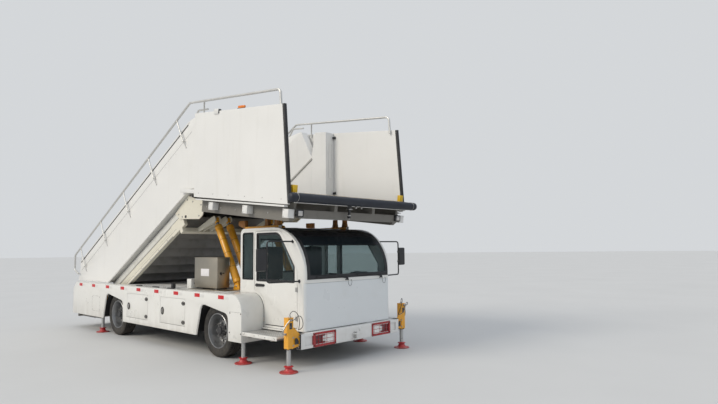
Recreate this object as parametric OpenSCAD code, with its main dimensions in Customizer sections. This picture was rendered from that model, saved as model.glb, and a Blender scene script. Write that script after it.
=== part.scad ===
// Mobile aircraft stairs: a low flatbed truck with a small cab, six jacks,
// a raisable lower flight, a telescoping upper flight and a boarding platform.
// X is forward, Y is to the left and Z is up. The origin is on the ground,
// midway along the parked length. Distances named "behind" are measured back
// from the line of the two front jacks.

/* [Truck body] */
// Half the width over the side skirts
skirt_y = 1315; // [1240:5:1330]
// Thickness of the skirt sheet
skirt_t = 8; // [5:1:12]
// Height of the deck surface above the ground
deck_z = 975; // [940:5:1010]
// Thickness of the deck plate
deck_t = 10; // [6:1:14]
// Height of the skirts' lower edge above the ground
skirt_low = 300; // [260:5:330]
// Distance from the rear axle back to the rear end of the skirts
tail_over = 2035; // [1940:5:2140]
// Distance from the front jacks back to the face of the front fenders
fender_back = 904; // [890:2:930]
// Radius of the fender's rounded front top edge
fender_r = 250; // [200:5:270]
// Size of the chamfer at the top rear corner of each skirt
tail_chamfer = 158; // [100:2:200]

/* [Frame] */
// Half the distance between the outer faces of the main rails
rail_y = 420; // [380:5:450]
// Height of a main rail
rail_h = 190; // [160:5:200]
// Width of a main rail
rail_w = 75; // [60:5:90]
// Height of the underside of the main rails above the axles
rail_over = 122; // [110:2:130]

/* [Wheels] */
// Outer radius of a tyre
tyre_r = 398; // [385:1:402]
// Width of a tyre
tyre_w = 236; // [220:2:246]
// Radius of the rim flange
rim_r = 258; // [250:1:266]
// Distance from the centre line to the outer face of a tyre
tyre_y = 1236; // [1225:1:1245]
// Distance from the front jacks back to the front axle
front_axle_back = 1640; // [1630:2:1650]
// Distance between the front and rear axles
wheelbase = 3470; // [3450:5:3490]
// Distance from the centre line to each kingpin
kingpin_y = 1000; // [990:2:1010]

/* [Cab] */
// Half the width of the cab
cab_y = 915; // [895:5:925]
// Thickness of the cab's side walls and doors
cab_t = 36; // [28:2:44]
// Distance from the front jacks back to the rear wall of the cab
cab_back = 1500; // [1480:5:1520]
// Height of the cab roof above the ground
roof_z = 1950; // [1930:5:1970]
// Height of the lower edge of the cab above the ground
cab_low = 492; // [486:2:500]
// Height of the windshield's lower edge above the ground
sill_z = 1205; // [1195:5:1215]
// Radius of the cab's front corners, seen from above
corner_r = 60; // [45:5:70]

/* [Stairs] */
// Slope of both flights when the stairs are parked
slope = 28.1; // [27.5:0.1:28.5]
// Slope of the flights at which treads and platform are level
level_slope = 34.6; // [33.5:0.1:35.5]
// Going of a tread
going = 285; // [275:1:290]
// Number of treads in the upper flight
upper_treads = 11; // [9:1:11]
// Number of treads in the lower flight
lower_treads = 11; // [9:1:11]
// Half the clear width between the balustrades
flight_y = 1000; // [980:2:1006]
// Thickness of a balustrade
balustrade_t = 150; // [120:5:160]
// Height of a balustrade, measured across the slope
balustrade_h = 1049; // [1000:1:1080]
// Depth of the upper flight's stringers
upper_stringer_h = 124; // [110:2:126]
// Depth of the lower flight's stringers
lower_stringer_h = 199; // [190:1:210]
// Thickness of the stringers
stringer_t = 60; // [50:1:70]
// Gap between the two flights' stringers
flight_gap = 8; // [6:1:10]

/* [Platform] */
// Half the width over the platform's side panels
panel_y = 1250; // [1235:5:1270]
// Thickness of a side panel
panel_t = 40; // [30:2:50]
// Height of a side panel, measured across the floor
panel_h = 1382; // [1300:2:1420]
// Depth of a side panel below the floor
panel_drop = 168; // [140:2:180]
// Length of a side panel
panel_len = 2382; // [2300:2:2400]
// Distance from the front jacks' line forward to the side panels' front edge
panel_front = 40; // [0:5:60]
// Radius of the front roll buffer
buffer_r = 65; // [50:1:75]
// Half the length of the front roll buffer
buffer_y = 1360; // [1300:5:1380]

/* [Hand rails] */
// Radius of a hand rail
rail_r = 19; // [16:0.5:22]
// Radius of a rail's post
post_r = 13; // [10:0.5:16]
// Height of a hand rail's centre over the balustrade, and over the side panel
rail_gap = 228; // [200:2:250]

/* [Bumper] */
// Radius of the tow pin hole
tow_r = 17; // [14:0.5:20]

/* [Jacks] */
// Distance from the centre line to a front jack
jack_y = 1200; // [1190:2:1210]
// Radius of a jack's leg tube
jack_r = 30; // [26:1:34]
// Radius of a jack's foot
foot_r = 125; // [110:5:135]

/* [Lift cylinders] */
// Radius of a lift cylinder's barrel
barrel_r = 50; // [44:1:54]
// Radius of a lift cylinder's rod
rod_r = 30; // [26:1:34]
// Radius of a lift pin
lift_pin_r = 20; // [16:1:22]

/* [Hidden] */
$fn = 48;

// Place of the front jacks' line ahead of the origin
nose_x = 3597;
// Clearance of a running fit, and the gap kept round moving panels
fit = 0.3;
play = 6;
fender_x = nose_x - fender_back;
front_axle_x = nose_x - front_axle_back;
rear_axle_x = front_axle_x - wheelbase;
tail_x = rear_axle_x - tail_over;
rail_z = tyre_r + rail_over;
cab_x = nose_x - cab_back;
wheel_y = tyre_y - tyre_w / 2;

white = [0.93, 0.93, 0.90];
grey = [0.55, 0.55, 0.54];
orange = [0.93, 0.58, 0.10];
black = [0.08, 0.08, 0.09];
steel = [0.72, 0.72, 0.72];
red = [0.70, 0.10, 0.10];
glass = [0.15, 0.20, 0.22];

// Unit vector, and a polygon whose corners are [x, y, radius]
function unit(v) = v / norm(v);
function corner_arc(a, p, b, r) =
    let(u = unit([a[0] - p[0], a[1] - p[1]]), v = unit([b[0] - p[0], b[1] - p[1]]),
        half = acos(max(-1, min(1, u * v))) / 2,
        c = [p[0], p[1]] + unit(u + v) * r / sin(half),
        s = [p[0], p[1]] + u * r / tan(half) - c,
        e = [p[0], p[1]] + v * r / tan(half) - c,
        a0 = atan2(s[1], s[0]), turn = atan2(e[1], e[0]) - a0,
        t = turn > 180 ? turn - 360 : turn < -180 ? turn + 360 : turn,
        n = max(2, ceil(abs(t) / 11)))
    [for (i = [0:n]) c + r * [cos(a0 + t * i / n), sin(a0 + t * i / n)]];
function rounded(pts) =
    let(n = len(pts))
    [for (i = [0:n - 1]) each pts[i][2] > 0
        ? corner_arc(pts[(i + n - 1) % n], pts[i], pts[(i + 1) % n], pts[i][2])
        : [[pts[i][0], pts[i][1]]]];

// An upright plate: its outline is in X and Z, and it fills y to y + t
module upright(y, t) translate([0, y + t, 0]) rotate([90, 0, 0]) linear_extrude(t) children();
// A box between two corners
module block(a, b) translate(a) cube(b - a);
// Both sides of the truck
module both_sides() { children(); mirror([0, 1, 0]) children(); }
// A cylinder along Y, from y0 to y1
module rod_y(x, z, y0, y1, r) translate([x, y1, z]) rotate([90, 0, 0]) cylinder(h = y1 - y0, r = r);

// Half the width of the deck's stair well, its front end, and the height of the
// rear step and of the low rear frame's underside
well_y = 1160;
well_x = rear_axle_x + 220;
step_z = 312;
low_frame_z = 220;

// Wheel arch outline round an axle at the given x
arch_points = [[-475, -400, 0], [-475, 300, 0], [-335, 812, 120], [402, 693, 90], [412, 300, 0], [412, -400, 0]];
module arch(x) translate([x, 0]) polygon(rounded(arch_points));

// Stairs: the flight's own frame has its origin on the balustrade's lower edge
// where it meets the deck, X up the slope and Z across it
flight_x = rear_axle_x - 677;
flight_z = deck_z + 4;
nosing_n = 132;
rise = going * tan(level_slope);
pitch = going / cos(level_slope);
tread_tilt = level_slope - slope;
upper_top_n = -44;
upper_low_n = upper_top_n - upper_stringer_h;
lower_top_n = upper_low_n - flight_gap;
lower_low_n = lower_top_n - lower_stringer_h;
lower_nosing_n = lower_top_n - 6;
flight_out_y = flight_y + stringer_t;
lower_first_s = -832;
pivot_s = -725;
pivot_n = (lower_top_n + lower_low_n) / 2;
pivot_r = 30;
upper_end_s = (nose_x - 2876 - flight_x) / cos(slope);
lower_end_s = upper_end_s - 280;
upper_foot_s = -420;
tread_t = 26;
riser_t = 6;
nosing_lip = 20;
module on_flight() translate([flight_x, 0, flight_z]) rotate([0, -slope, 0]) children();
function flight_point(s, n) = [flight_x + s * cos(slope) - n * sin(slope),
                               flight_z + s * sin(slope) + n * cos(slope)];

// Platform: its own frame has its origin on the floor over the front jacks'
// line, X forward along the floor and Z across it
floor_z = 2400;
floor_front = 150;
floor_pitch = level_slope - slope;
// The top nosing is where the nosing line meets the platform floor
top_nosing_s = (floor_z - flight_z - nosing_n * cos(slope)
                - (flight_x - nosing_n * sin(slope) - nose_x) * tan(floor_pitch))
               / (sin(slope) + cos(slope) * tan(floor_pitch));
wall_h = panel_h - panel_drop;
floor_rear = (flight_point(top_nosing_s, nosing_n)[0] - nose_x) / cos(floor_pitch) + 7;
module on_platform() translate([nose_x, 0, floor_z]) rotate([0, floor_pitch, 0]) children();
// The point at height h over the floor, at the given x
function over_floor(x, h) = [x, floor_z + (nose_x - x) * tan(floor_pitch) + h / cos(floor_pitch)];
// Where each balustrade ends and the platform's inner wall begins
gate_x = nose_x - 1950;

// Lift: pins at the foot of the barrels and at the top of the rods
lift_foot = [nose_x - 1845, 1040];
lift_s = lower_end_s + 405;
lift_n = -501;
lift_top = flight_point(lift_s, lift_n);
lift_ys = [470, 700];
lift_len = norm(lift_top - lift_foot);
lift_angle = atan2(lift_top[1] - lift_foot[1], lift_top[0] - lift_foot[0]);
module on_lift() translate([lift_foot[0], 0, lift_foot[1]]) rotate([0, -lift_angle, 0]) children();

// Locker doors: name order is right front, right rear, left front, left rear
locker_low = 400;
locker_high = 838;
locker_w = 822;
locker_fronts = [nose_x - 2448, nose_x - 3716];
locker_plate = 8;
locker_depth = 430;

// Jacks: [x, y] of the right-hand three, from front to rear
jack_xs = [nose_x, nose_x - 960, rear_axle_x - 645];
jack_ys = [jack_y, 1236, 1236];
housing_lows = [310, 400, 400];
housing_highs = [710, 760, 780];
leg_highs = [480, 530, 550];

// Main ladder, and the low nose frame bolted under its front end
ladder_rear = rear_axle_x - 320;
ladder_front = nose_x - 950;
nose_low = 330;
nose_high = 480;
member_w = 70;
module frame() color(grey) {
    union() {
        both_sides() block([ladder_rear, rail_y - rail_w, rail_z], [ladder_front, rail_y, rail_z + rail_h]);
        for (x = [nose_x - 1500, nose_x - 2500, nose_x - 3530, nose_x - 4400, ladder_rear])
            block([x, -rail_y, rail_z + 20], [x + member_w, rail_y, rail_z + rail_h]);
    }
    union() {
        both_sides() {
            block([ladder_front - 200, rail_y - rail_w, nose_low], [nose_x - 28 - fit, rail_y, nose_high]);
            block([ladder_front - 200, rail_y - rail_w, nose_high], [ladder_front, rail_y, rail_z - fit]);
            // Cab mounts on the nose rails
            for (x = [nose_x - 850, nose_x - 250])
                block([x, rail_y - rail_w, nose_high], [x + member_w, rail_y, cab_low - fit]);
        }
        for (x = [nose_x - 120, nose_x - 1000])
            block([x, -rail_y, nose_low + 10], [x + member_w, rail_y, nose_high - 10]);
    }
}

// Cross beams on the main rails, notched at their ends for the side beams
beam_w = 80;
side_beam_h = 120;
side_beam_y = 1165;
side_beam_w = 60;
deck_under = deck_z - deck_t;
beam_xs = [locker_fronts[0] + 148, locker_fronts[1] + 126, locker_fronts[1] - locker_w - 107];
module deck_beams() color(grey) {
    for (x = beam_xs) translate([x, 0, 0]) rotate([90, 0, 90]) linear_extrude(beam_w) polygon([
        [-skirt_y + 40, rail_z + rail_h + fit], [skirt_y - 40, rail_z + rail_h + fit],
        [skirt_y - 40, deck_under - side_beam_h - fit], [side_beam_y - 5, deck_under - side_beam_h - fit],
        [side_beam_y - 5, deck_under], [5 - side_beam_y, deck_under], [5 - side_beam_y, deck_under - side_beam_h - fit],
        [40 - skirt_y, deck_under - side_beam_h - fit]]);
    // Beam under the rear wall of the cab
    block([nose_x - 1450, -700, rail_z + rail_h + fit], [nose_x - 1370, 700, deck_z - fit]);
}

// Side beams under the deck's edges, the lower flight's pivot brackets and the
// low frame that carries the rear step
pivot_x = flight_point(pivot_s, pivot_n)[0];
pivot_z = flight_point(pivot_s, pivot_n)[1];
bracket_rear = pivot_x - 120;
bracket_front = pivot_x + 100;
bracket_y = 1075;
strut_x = tail_x + 60;
low_frame_high = low_frame_z + 80;
module rear_frame() color(grey) {
    both_sides() {
        block([strut_x, side_beam_y, deck_under - side_beam_h], [nose_x - 2220, side_beam_y + side_beam_w, deck_under]);
        union() {
            block([bracket_rear, bracket_y, low_frame_z], [bracket_front, bracket_y + 30, deck_under - 65]);
            block([bracket_rear, bracket_y + 30, deck_under - side_beam_h],
                  [bracket_front, side_beam_y - fit, deck_under - 65]);
            rod_y(pivot_x, pivot_z, flight_y + 3, bracket_y + 15, pivot_r);
        }
        // Struts from the low frame up to the side beams, and posts up to the ladder
        block([strut_x, well_y, low_frame_high + fit],
              [strut_x + 60, side_beam_y + side_beam_w, deck_under - side_beam_h - fit]);
        block([ladder_rear, rail_y - 2 * rail_w, low_frame_z + 50 + fit],
              [ladder_rear + 60, rail_y - rail_w, rail_z + 20 - fit]);
    }
    union() {
        both_sides() {
            block([tail_x + 20, bracket_y, low_frame_z], [bracket_rear - fit, bracket_y + 60, step_z - 12]);
            block([strut_x, bracket_y + 60, low_frame_z], [strut_x + 60, side_beam_y + side_beam_w, low_frame_high]);
            block([bracket_rear - 60, rail_y - 2 * rail_w, low_frame_z],
                  [ladder_rear + 60, rail_y - rail_w, low_frame_z + 50]);
        }
        for (x = [bracket_rear - 60, tail_x + 20])
            block([x, -bracket_y, low_frame_z], [x + 60, bracket_y, low_frame_z + 50]);
    }
}

// Deck plate between the skirts' flanges, and the step across the tail
module deck() color(white) {
    block([well_x, -well_y + fit, deck_under], [cab_x - 4, well_y - fit, deck_z]);
    union() {
        block([tail_x + 4, -bracket_y - 60, step_z - 12], [tail_x + 465, bracket_y + 60, step_z]);
        block([tail_x + 465, -970, step_z - 12], [tail_x + 645, 970, step_z]);
    }
}

function reverse(list) = [for (i = [len(list) - 1:-1:0]) list[i]];
function fender_line(inset) = concat(
    corner_arc([fender_x - fender_r, deck_z - inset], [fender_x - inset, deck_z - inset], [fender_x - inset, skirt_low],
               fender_r - inset),
    [[fender_x - inset, skirt_low]]);
function skirt_points() = [
    [tail_x, skirt_low, 0], [tail_x, deck_z - tail_chamfer, 20], [tail_x + tail_chamfer, deck_z, 20],
    [fender_x, deck_z, fender_r], [fender_x, skirt_low, 0]];

module skirt() color(white) union() {
    upright(-skirt_y, skirt_t) difference() {
        polygon(rounded(skirt_points()));
        arch(front_axle_x);
        arch(rear_axle_x);
        for (x = locker_fronts)
            translate([x - locker_w, locker_low]) square([locker_w, locker_high - locker_low]);
    }
    // Top flange beside the deck, wider beside the cab
    block([tail_x + tail_chamfer, -skirt_y + skirt_t, deck_under], [cab_x - 4, -well_y, deck_z]);
    block([cab_x - 4, -skirt_y + skirt_t, deck_under], [fender_x - fender_r, -cab_y - 3, deck_z]);
    // Fender front: the rounded top edge and the upright face
    upright(-skirt_y + skirt_t, skirt_y - skirt_t - cab_y - 3)
        polygon(concat(fender_line(0), reverse(fender_line(6))));
}
module skirt_right() skirt();
module skirt_left() mirror([0, 1, 0]) skirt();

// Side view of the cab: flat roof, curved front, upright lower front
cab_curve_r = 690;
function cab_outline(inset) = rounded([
    [cab_x + inset, deck_z + inset, 0], [cab_x + inset, roof_z - inset, 90],
    [nose_x - inset, roof_z - inset, cab_curve_r - inset], [nose_x - inset, cab_low + inset, 20],
    [fender_x + 4 + inset, cab_low + inset, 0], [fender_x + 4 + inset, deck_z + inset, fender_r - 6]]);

// Door and window outlines in side view
door_rear = nose_x - 1140;
door_front = nose_x - 152;
function door_outline(gap) = rounded([
    [door_rear + gap, deck_z + 40, 0], [door_rear + gap, 1905 - gap, 60], [nose_x - 500, 1905 - gap, 160],
    [door_front - gap, 1330, 60], [door_front - gap, cab_low + 30 + gap, 25],
    [fender_x + 10 + gap, cab_low + 30 + gap, 10], [fender_x + 10 + gap, deck_z + 10, fender_r - 10]]);
function door_window(gap) = rounded([
    [nose_x - 1088 + gap, 1155 + gap, 20], [nose_x - 1088 + gap, 1872 - gap, 20],
    [nose_x - 560, 1872 - gap, 170], [nose_x - 212 - gap, 1385, 50], [nose_x - 212 - gap, 1155 + gap, 20]]);
function quarter_window(gap) = rounded([
    [nose_x - 1444 + gap, 1170 + gap, 12], [nose_x - 1444 + gap, 1885 - gap, 40],
    [nose_x - 1172 - gap, 1885 - gap, 12], [nose_x - 1172 - gap, 1170 + gap, 12]]);

// Plan of the cab, with its rounded front corners
module cab_plan() linear_extrude(roof_z + 100) polygon(rounded([
    [cab_x, -cab_y, 0], [nose_x, -cab_y, corner_r], [nose_x, cab_y, corner_r], [cab_x, cab_y, 0]]));
glass_y = cab_y - corner_r - fit;
module cab_form() difference() {
    intersection() {
        upright(-cab_y, 2 * cab_y) polygon(cab_outline(0));
        cab_plan();
    }
    // Inside space, above a stepped floor
    upright(-cab_y + cab_t, 2 * (cab_y - cab_t)) polygon(rounded([
        [cab_x + cab_t, deck_z + 30, 0], [cab_x + cab_t, roof_z - 30, 60], [nose_x - 30, roof_z - 30, cab_curve_r - 30],
        [nose_x - 30, cab_low + 30, 0], [fender_x + 40, cab_low + 30, 0], [fender_x + 40, deck_z + 30, 0]]));
    for (s = [-1, 1]) {
        upright(s * cab_y - cab_t - 5, 2 * cab_t + 10) polygon(door_outline(0));
        upright(s * cab_y - cab_t - 5, 2 * cab_t + 10) polygon(quarter_window(0));
    }
    // Windshield opening and the front panel's opening
    block([nose_x - 470, -cab_y + corner_r, sill_z], [nose_x + 10, cab_y - corner_r, 1870]);
    block([nose_x - 31, -cab_y - 1, cab_low - 1], [nose_x + 10, cab_y + 1, sill_z - 55]);
    // Rear window
    block([cab_x - 5, -560, 1240], [cab_x + cab_t + 5, 560, 1800]);
}

// The shell in panels that butt: side walls, rear wall, roof, front and floor,
// each given as its range in X and Z
cab_in_x = cab_x + cab_t;
cab_in_y = cab_y - cab_t;
cab_curve_x = nose_x - cab_curve_r;
cab_mid_z = 1100;
cab_panels = [
    [cab_x - 1, cab_in_x - fit, 0, roof_z + 1],
    [cab_in_x, cab_in_x + 60 - fit, cab_mid_z, roof_z + 1],
    [cab_in_x + 60, cab_curve_x - fit, cab_mid_z, roof_z + 1],
    [cab_curve_x, nose_x + 1, cab_mid_z, roof_z + 1],
    [cab_in_x, fender_x + 40 - fit, 0, cab_mid_z],
    [fender_x + 40, nose_x + 1, 0, cab_mid_z]];
module cab_shell() color(white) {
    both_sides() intersection() {
        cab_form();
        block([cab_x - 1, -cab_y - 1, 0], [nose_x + 1, -cab_in_y, roof_z + 1]);
    }
    for (p = cab_panels) intersection() {
        cab_form();
        block([p[0], fit - cab_in_y, p[2]], [p[1], cab_in_y - fit, p[3]]);
    }
}

module front_panel() color(white)
    difference() {
        intersection() {
            cab_plan();
            upright(-cab_y, 2 * cab_y) polygon(rounded([
            [nose_x - 30.5, cab_low, 0], [nose_x, cab_low, 15], [nose_x, sill_z - 56, 15], [nose_x - 30.5, sill_z - 56, 0]]));
        }
        block([nose_x - 40, -cab_y + 40, cab_low + 40], [nose_x - 6, cab_y - 40, sill_z - 90]);
    }

module windshield() color(glass)
    intersection() {
        difference() {
            upright(-glass_y, 2 * glass_y) polygon(cab_outline(2));
            upright(-cab_y, 2 * cab_y) polygon(cab_outline(10));
        }
        block([nose_x - 469.5, -cab_y, sill_z + 0.5], [nose_x + 10, cab_y, 1869.5]);
    }

module cab_glass() color(glass) {
    both_sides() upright(-cab_y + 8, 6) polygon(quarter_window(0.5));
    block([cab_x + 8, -559.5, 1240.5], [cab_x + 14, 559.5, 1799.5]);
}

module door() {
    color(white) difference() {
        upright(-cab_y, cab_t) polygon(door_outline(play));
        upright(-cab_y - 5, cab_t + 10) polygon(door_window(0));
    }
    color(glass) upright(-cab_y + 12, 6) polygon(door_window(fit));
}
module door_right() door();
module door_left() mirror([0, 1, 0]) door();

module bumper() color(white) union() {
    // Tow bracket: two plates with a pin hole
    difference() {
        for (z = [300, 372]) block([nose_x + 45, -45, z], [nose_x + 130, 45, z + 14]);
        translate([nose_x + 98, 0, 290]) cylinder(h = 110, r = tow_r);
    }
    difference() {
        block([nose_x - 28, -1040, 280], [nose_x + 70, 1040, 485]);
        block([nose_x - 40, -1010, 270], [nose_x + 50, 1010, 470]);
        for (s = [-1, 1]) block([nose_x + 40, s * 780 - 190, 320], [nose_x + 80, s * 780 + 190, 440]);
    }
}

module lamps() color(red) {
    both_sides() {
        block([nose_x + 50.5, -969.5, 320.5], [nose_x + 68, -590.5, 439.5]);
        block([tail_x - 14, -1312, 420], [tail_x, -1230, 800]);
    }
}

module step_boards() color(white) both_sides() {
    block([fender_x + fit, -1300, 430], [nose_x - 130, -cab_y + 60, 455]);
}

module control_box() color(steel) {
    block([nose_x - 2700, -1000, deck_z + 30], [nose_x - 2020, -760, deck_z + 530]);
    for (x = [-2640, -2120]) block([nose_x + x, -980, deck_z], [nose_x + x + 60, -780, deck_z + 30]);
}

module seats() color(black) both_sides() {
    block([cab_x + 200, 200, deck_z + 30 + fit], [cab_x + 680, 680, deck_z + 150]);
    block([cab_x + 130, 200, deck_z + 30 + fit], [cab_x + 200 - fit, 680, deck_z + 700]);
}

module on_column() translate([nose_x - 420, 440, 1150]) rotate([0, -35, 0]) children();
module dashboard() color(black) difference() {
    upright(-870, 1740) polygon([
        [nose_x - 31, 800], [nose_x - 31, 1185], [nose_x - 200, 1195], [nose_x - 330, 1120], [nose_x - 300, 900],
        [nose_x - 150, 800]]);
    on_column() translate([0, 0, -300]) cylinder(h = 250, r = 22 + fit);
}
module steering_wheel() color(black)
    on_column() {
        rotate_extrude() translate([185, 0]) circle(14);
        cylinder(h = 30, r = 40, center = true);
        for (a = [0, 120, 240]) rotate([0, 0, a]) translate([0, -12, -6]) cube([185, 24, 12]);
        translate([0, 0, -290]) cylinder(h = 290, r = 22);
    }

// A leaf spring under a main rail, with its hangers
module leaf_spring(x, low) upright(rail_y - rail_w + 2, rail_w - 4) translate([x, 0]) polygon([
    [-420, rail_z - fit], [-420, rail_z - 45], [-380, rail_z - 60], [-70, low + 10], [-60, low], [60, low], [70, low + 10],
    [380, rail_z - 60], [420, rail_z - 45], [420, rail_z - fit], [370, rail_z - fit], [370, rail_z - 30],
    [60, low + 60], [-60, low + 60], [-370, rail_z - 30], [-370, rail_z - fit]]);

module front_axle() color(grey) union() {
    both_sides() leaf_spring(front_axle_x, tyre_r + 20);
    block([front_axle_x - 45, -900, tyre_r - 55], [front_axle_x + 45, 900, tyre_r + 25]);
    both_sides() {
        block([front_axle_x - 60, kingpin_y - 100, tyre_r - 60], [front_axle_x + 60, kingpin_y - 40, tyre_r + 60]);
        for (z = [-90, 60]) difference() {
            block([front_axle_x - 50, kingpin_y - 100, tyre_r + z], [front_axle_x + 50, kingpin_y + 45, tyre_r + z + 30]);
            translate([front_axle_x, kingpin_y, tyre_r + z - 5]) cylinder(h = 40, r = 18 + fit);
        }
    }
}

module knuckle() color(grey) {
    translate([front_axle_x, kingpin_y, tyre_r - 90]) cylinder(h = 180, r = 18);
    translate([front_axle_x, kingpin_y, tyre_r - 55]) cylinder(h = 110, r = 38);
    rod_y(front_axle_x, tyre_r, kingpin_y, wheel_y + 60, 34);
}
module knuckle_left() knuckle();
module knuckle_right() mirror([0, 1, 0]) knuckle();

module rear_axle() color(grey) union() {
    rod_y(rear_axle_x, tyre_r, -wheel_y - 60, wheel_y + 60, 34);
    rod_y(rear_axle_x, tyre_r, -930, 930, 65);
    translate([rear_axle_x, 0, tyre_r]) sphere(differential_r);
    both_sides() leaf_spring(rear_axle_x + 90, tyre_r + 40);
}

// A wheel at the origin, its axis along Y and its outer face toward +Y
module tyre_form() color(black) rotate([-90, 0, 0]) rotate_extrude($fn = 96) polygon(rounded([
    [rim_r + 2, -tyre_w / 2 + 20, 0], [rim_r + 40, -tyre_w / 2, 20], [tyre_r - 45, -tyre_w / 2, 30],
    [tyre_r, -tyre_w / 2 + 20, 25], [tyre_r, tyre_w / 2 - 20, 25], [tyre_r - 45, tyre_w / 2, 30],
    [rim_r + 40, tyre_w / 2, 20], [rim_r + 2, tyre_w / 2 - 20, 0]]));
module rim_form() color(steel) difference() {
    rotate([-90, 0, 0]) rotate_extrude($fn = 96) polygon([
        [34 + fit, -40], [120, -40], [150, -75], [rim_r - 30, -85], [rim_r, -tyre_w / 2 + 22], [rim_r + 1.7, -tyre_w / 2 + 22],
        [rim_r + 1.7, tyre_w / 2 - 22], [rim_r - 8, tyre_w / 2 - 22], [rim_r - 40, -50], [170, -45], [140, 10], [95, 40],
        [80, 62], [34 + fit, 62]]);
    for (i = [0:7]) rotate([0, i * 45, 0]) rod_y(195, 0, -120, 120, 24);
}
module at_wheel(x, side) translate([x, side * wheel_y, tyre_r]) mirror([0, side < 0 ? 1 : 0, 0]) children();
module tyre_front_right() at_wheel(front_axle_x, -1) tyre_form();
module tyre_front_left() at_wheel(front_axle_x, 1) tyre_form();
module tyre_rear_right() at_wheel(rear_axle_x, -1) tyre_form();
module tyre_rear_left() at_wheel(rear_axle_x, 1) tyre_form();
module rim_front_right() at_wheel(front_axle_x, -1) rim_form();
module rim_front_left() at_wheel(front_axle_x, 1) rim_form();
module rim_rear_right() at_wheel(rear_axle_x, -1) rim_form();
module rim_rear_left() at_wheel(rear_axle_x, 1) rim_form();

// Jacks: housings on the truck, legs that slide in them
module jack_mounts() color(orange) both_sides() {
    for (i = [0:2]) difference() {
        union() {
            if (i > 0) translate([jack_xs[i], -jack_ys[i], housing_lows[i]])
                cylinder(h = housing_highs[i] - housing_lows[i], r = jack_r + 16);
            // The front housings are square tubes
            if (i == 0) translate([jack_xs[0], -jack_y, housing_lows[0]])
                block([-jack_r - 28, -jack_r - 28, 0], [jack_r + 28, jack_r + 28, housing_highs[0] - housing_lows[0]]);
            if (i == 0) block([jack_xs[0] - 45, -jack_y + 36, 330], [jack_xs[0] + 45, -1040 - fit, 470]);
            if (i == 1) block([jack_xs[1] - 30, -jack_ys[1] + 36, 560], [jack_xs[1] + 30, -rail_y, 620]);
            if (i == 2) block([jack_xs[2] - 30, -jack_ys[2] + 36, 600], [jack_xs[2] + 30, -1165, deck_z - 130]);
        }
        translate([jack_xs[i], -jack_ys[i], 200]) cylinder(h = housing_highs[i] - 220, r = jack_r + fit);
    }
}
module jack_leg(i, side) color(red) translate([jack_xs[i], side * jack_ys[i], 0]) {
    cylinder(h = 14, r = foot_r);
    translate([0, 0, 14]) cylinder(h = 36, r1 = 70, r2 = 50);
    translate([0, 0, 50]) cylinder(h = leg_highs[i] - 50, r = jack_r);
    translate([0, 0, 74]) cylinder(h = 12, r = 64);
}
module jack_leg_1() jack_leg(0, -1);
module jack_leg_2() jack_leg(1, -1);
module jack_leg_3() jack_leg(2, -1);
module jack_leg_4() jack_leg(0, 1);
module jack_leg_5() jack_leg(1, 1);
module jack_leg_6() jack_leg(2, 1);

// Mirrors: each arm runs from the cab's side at [x, z] out to the upright tube
mirror_x = nose_x - 205;
mirror_y = 1405;
mirror_r = 11;
mirror_arms = [[nose_x - 110, 1180], [nose_x - 250, 1735]];
module mirrors() color(black) both_sides() union() {
    for (a = mirror_arms) {
        run = [mirror_x - a[0], cab_y + 4 - mirror_y];
        translate([a[0], -cab_y - 4, a[1]]) rotate([0, 0, atan2(run[1], run[0])]) rotate([0, 90, 0])
            cylinder(h = norm(run), r = mirror_r - 1.5);
        translate([a[0], -cab_y - fit, a[1]]) rotate([90, 0, 0]) cylinder(h = 12, r = 22);
    }
    translate([mirror_x, -mirror_y, mirror_arms[0][1] - mirror_r])
        cylinder(h = mirror_arms[1][1] - mirror_arms[0][1] + 2 * mirror_r, r = mirror_r);
    block([mirror_x - 20, -mirror_y - 175, 1332], [mirror_x + 15, -mirror_y - 5, 1637]);
}

// Bars on the cab roof, with forks that stand under the parked platform's beams
module roof_rests() color(orange) both_sides() {
    block([cab_x - 104, 700, roof_z], [nose_x - 760, 760, roof_z + 40]);
    for (x = [nose_x - 1100, nose_x - 870])
        upright(700, 60) polygon([[x, roof_z + 40 + fit], [x + 100, roof_z + 40 + fit], [x + 70, roof_z + 170], [x + 30, roof_z + 170]]);
    upright(700, 60) polygon([
        [nose_x - 1780, roof_z + 65], [cab_x - 104 - fit, roof_z + 5], [cab_x - 104 - fit, roof_z + 140],
        [nose_x - 1780, roof_z + 140]]);
}

// Engine and gearbox, with the shaft back to the rear axle
engine_rear = nose_x - 3460 + fit;
shaft_front_z = tyre_r + 40;
shaft_r = 38;
differential_r = 170;
module engine() color(grey) {
    block([engine_rear, -rail_y + rail_w + 20, tyre_r + 2], [nose_x - 2500 - fit, rail_y - rail_w - 20, 900]);
    length = engine_rear - rear_axle_x - differential_r - 2 * fit;
    tilt = atan2(shaft_front_z - tyre_r, length);
    translate([rear_axle_x + differential_r + fit, 0, tyre_r]) rotate([0, 90 - tilt, 0])
        cylinder(h = length / cos(tilt) - shaft_r * tan(tilt), r = shaft_r);
}

module locker_boxes() color(white) both_sides() for (x = locker_fronts) {
    x0 = x - locker_w - locker_plate;
    x1 = x + locker_plate;
    y0 = -skirt_y + skirt_t + fit;
    y1 = -skirt_y + locker_depth;
    top = locker_high - locker_plate;
    for (z = [locker_low - locker_plate, top]) block([x0, y0, z], [x1, y1, z + locker_plate]);
    block([x0, y1 - locker_plate, locker_low + fit], [x1, y1, top - fit]);
    for (e = [x0, x]) block([e, y0, locker_low + fit], [e + locker_plate, y1 - locker_plate - fit, top - fit]);
}
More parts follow.
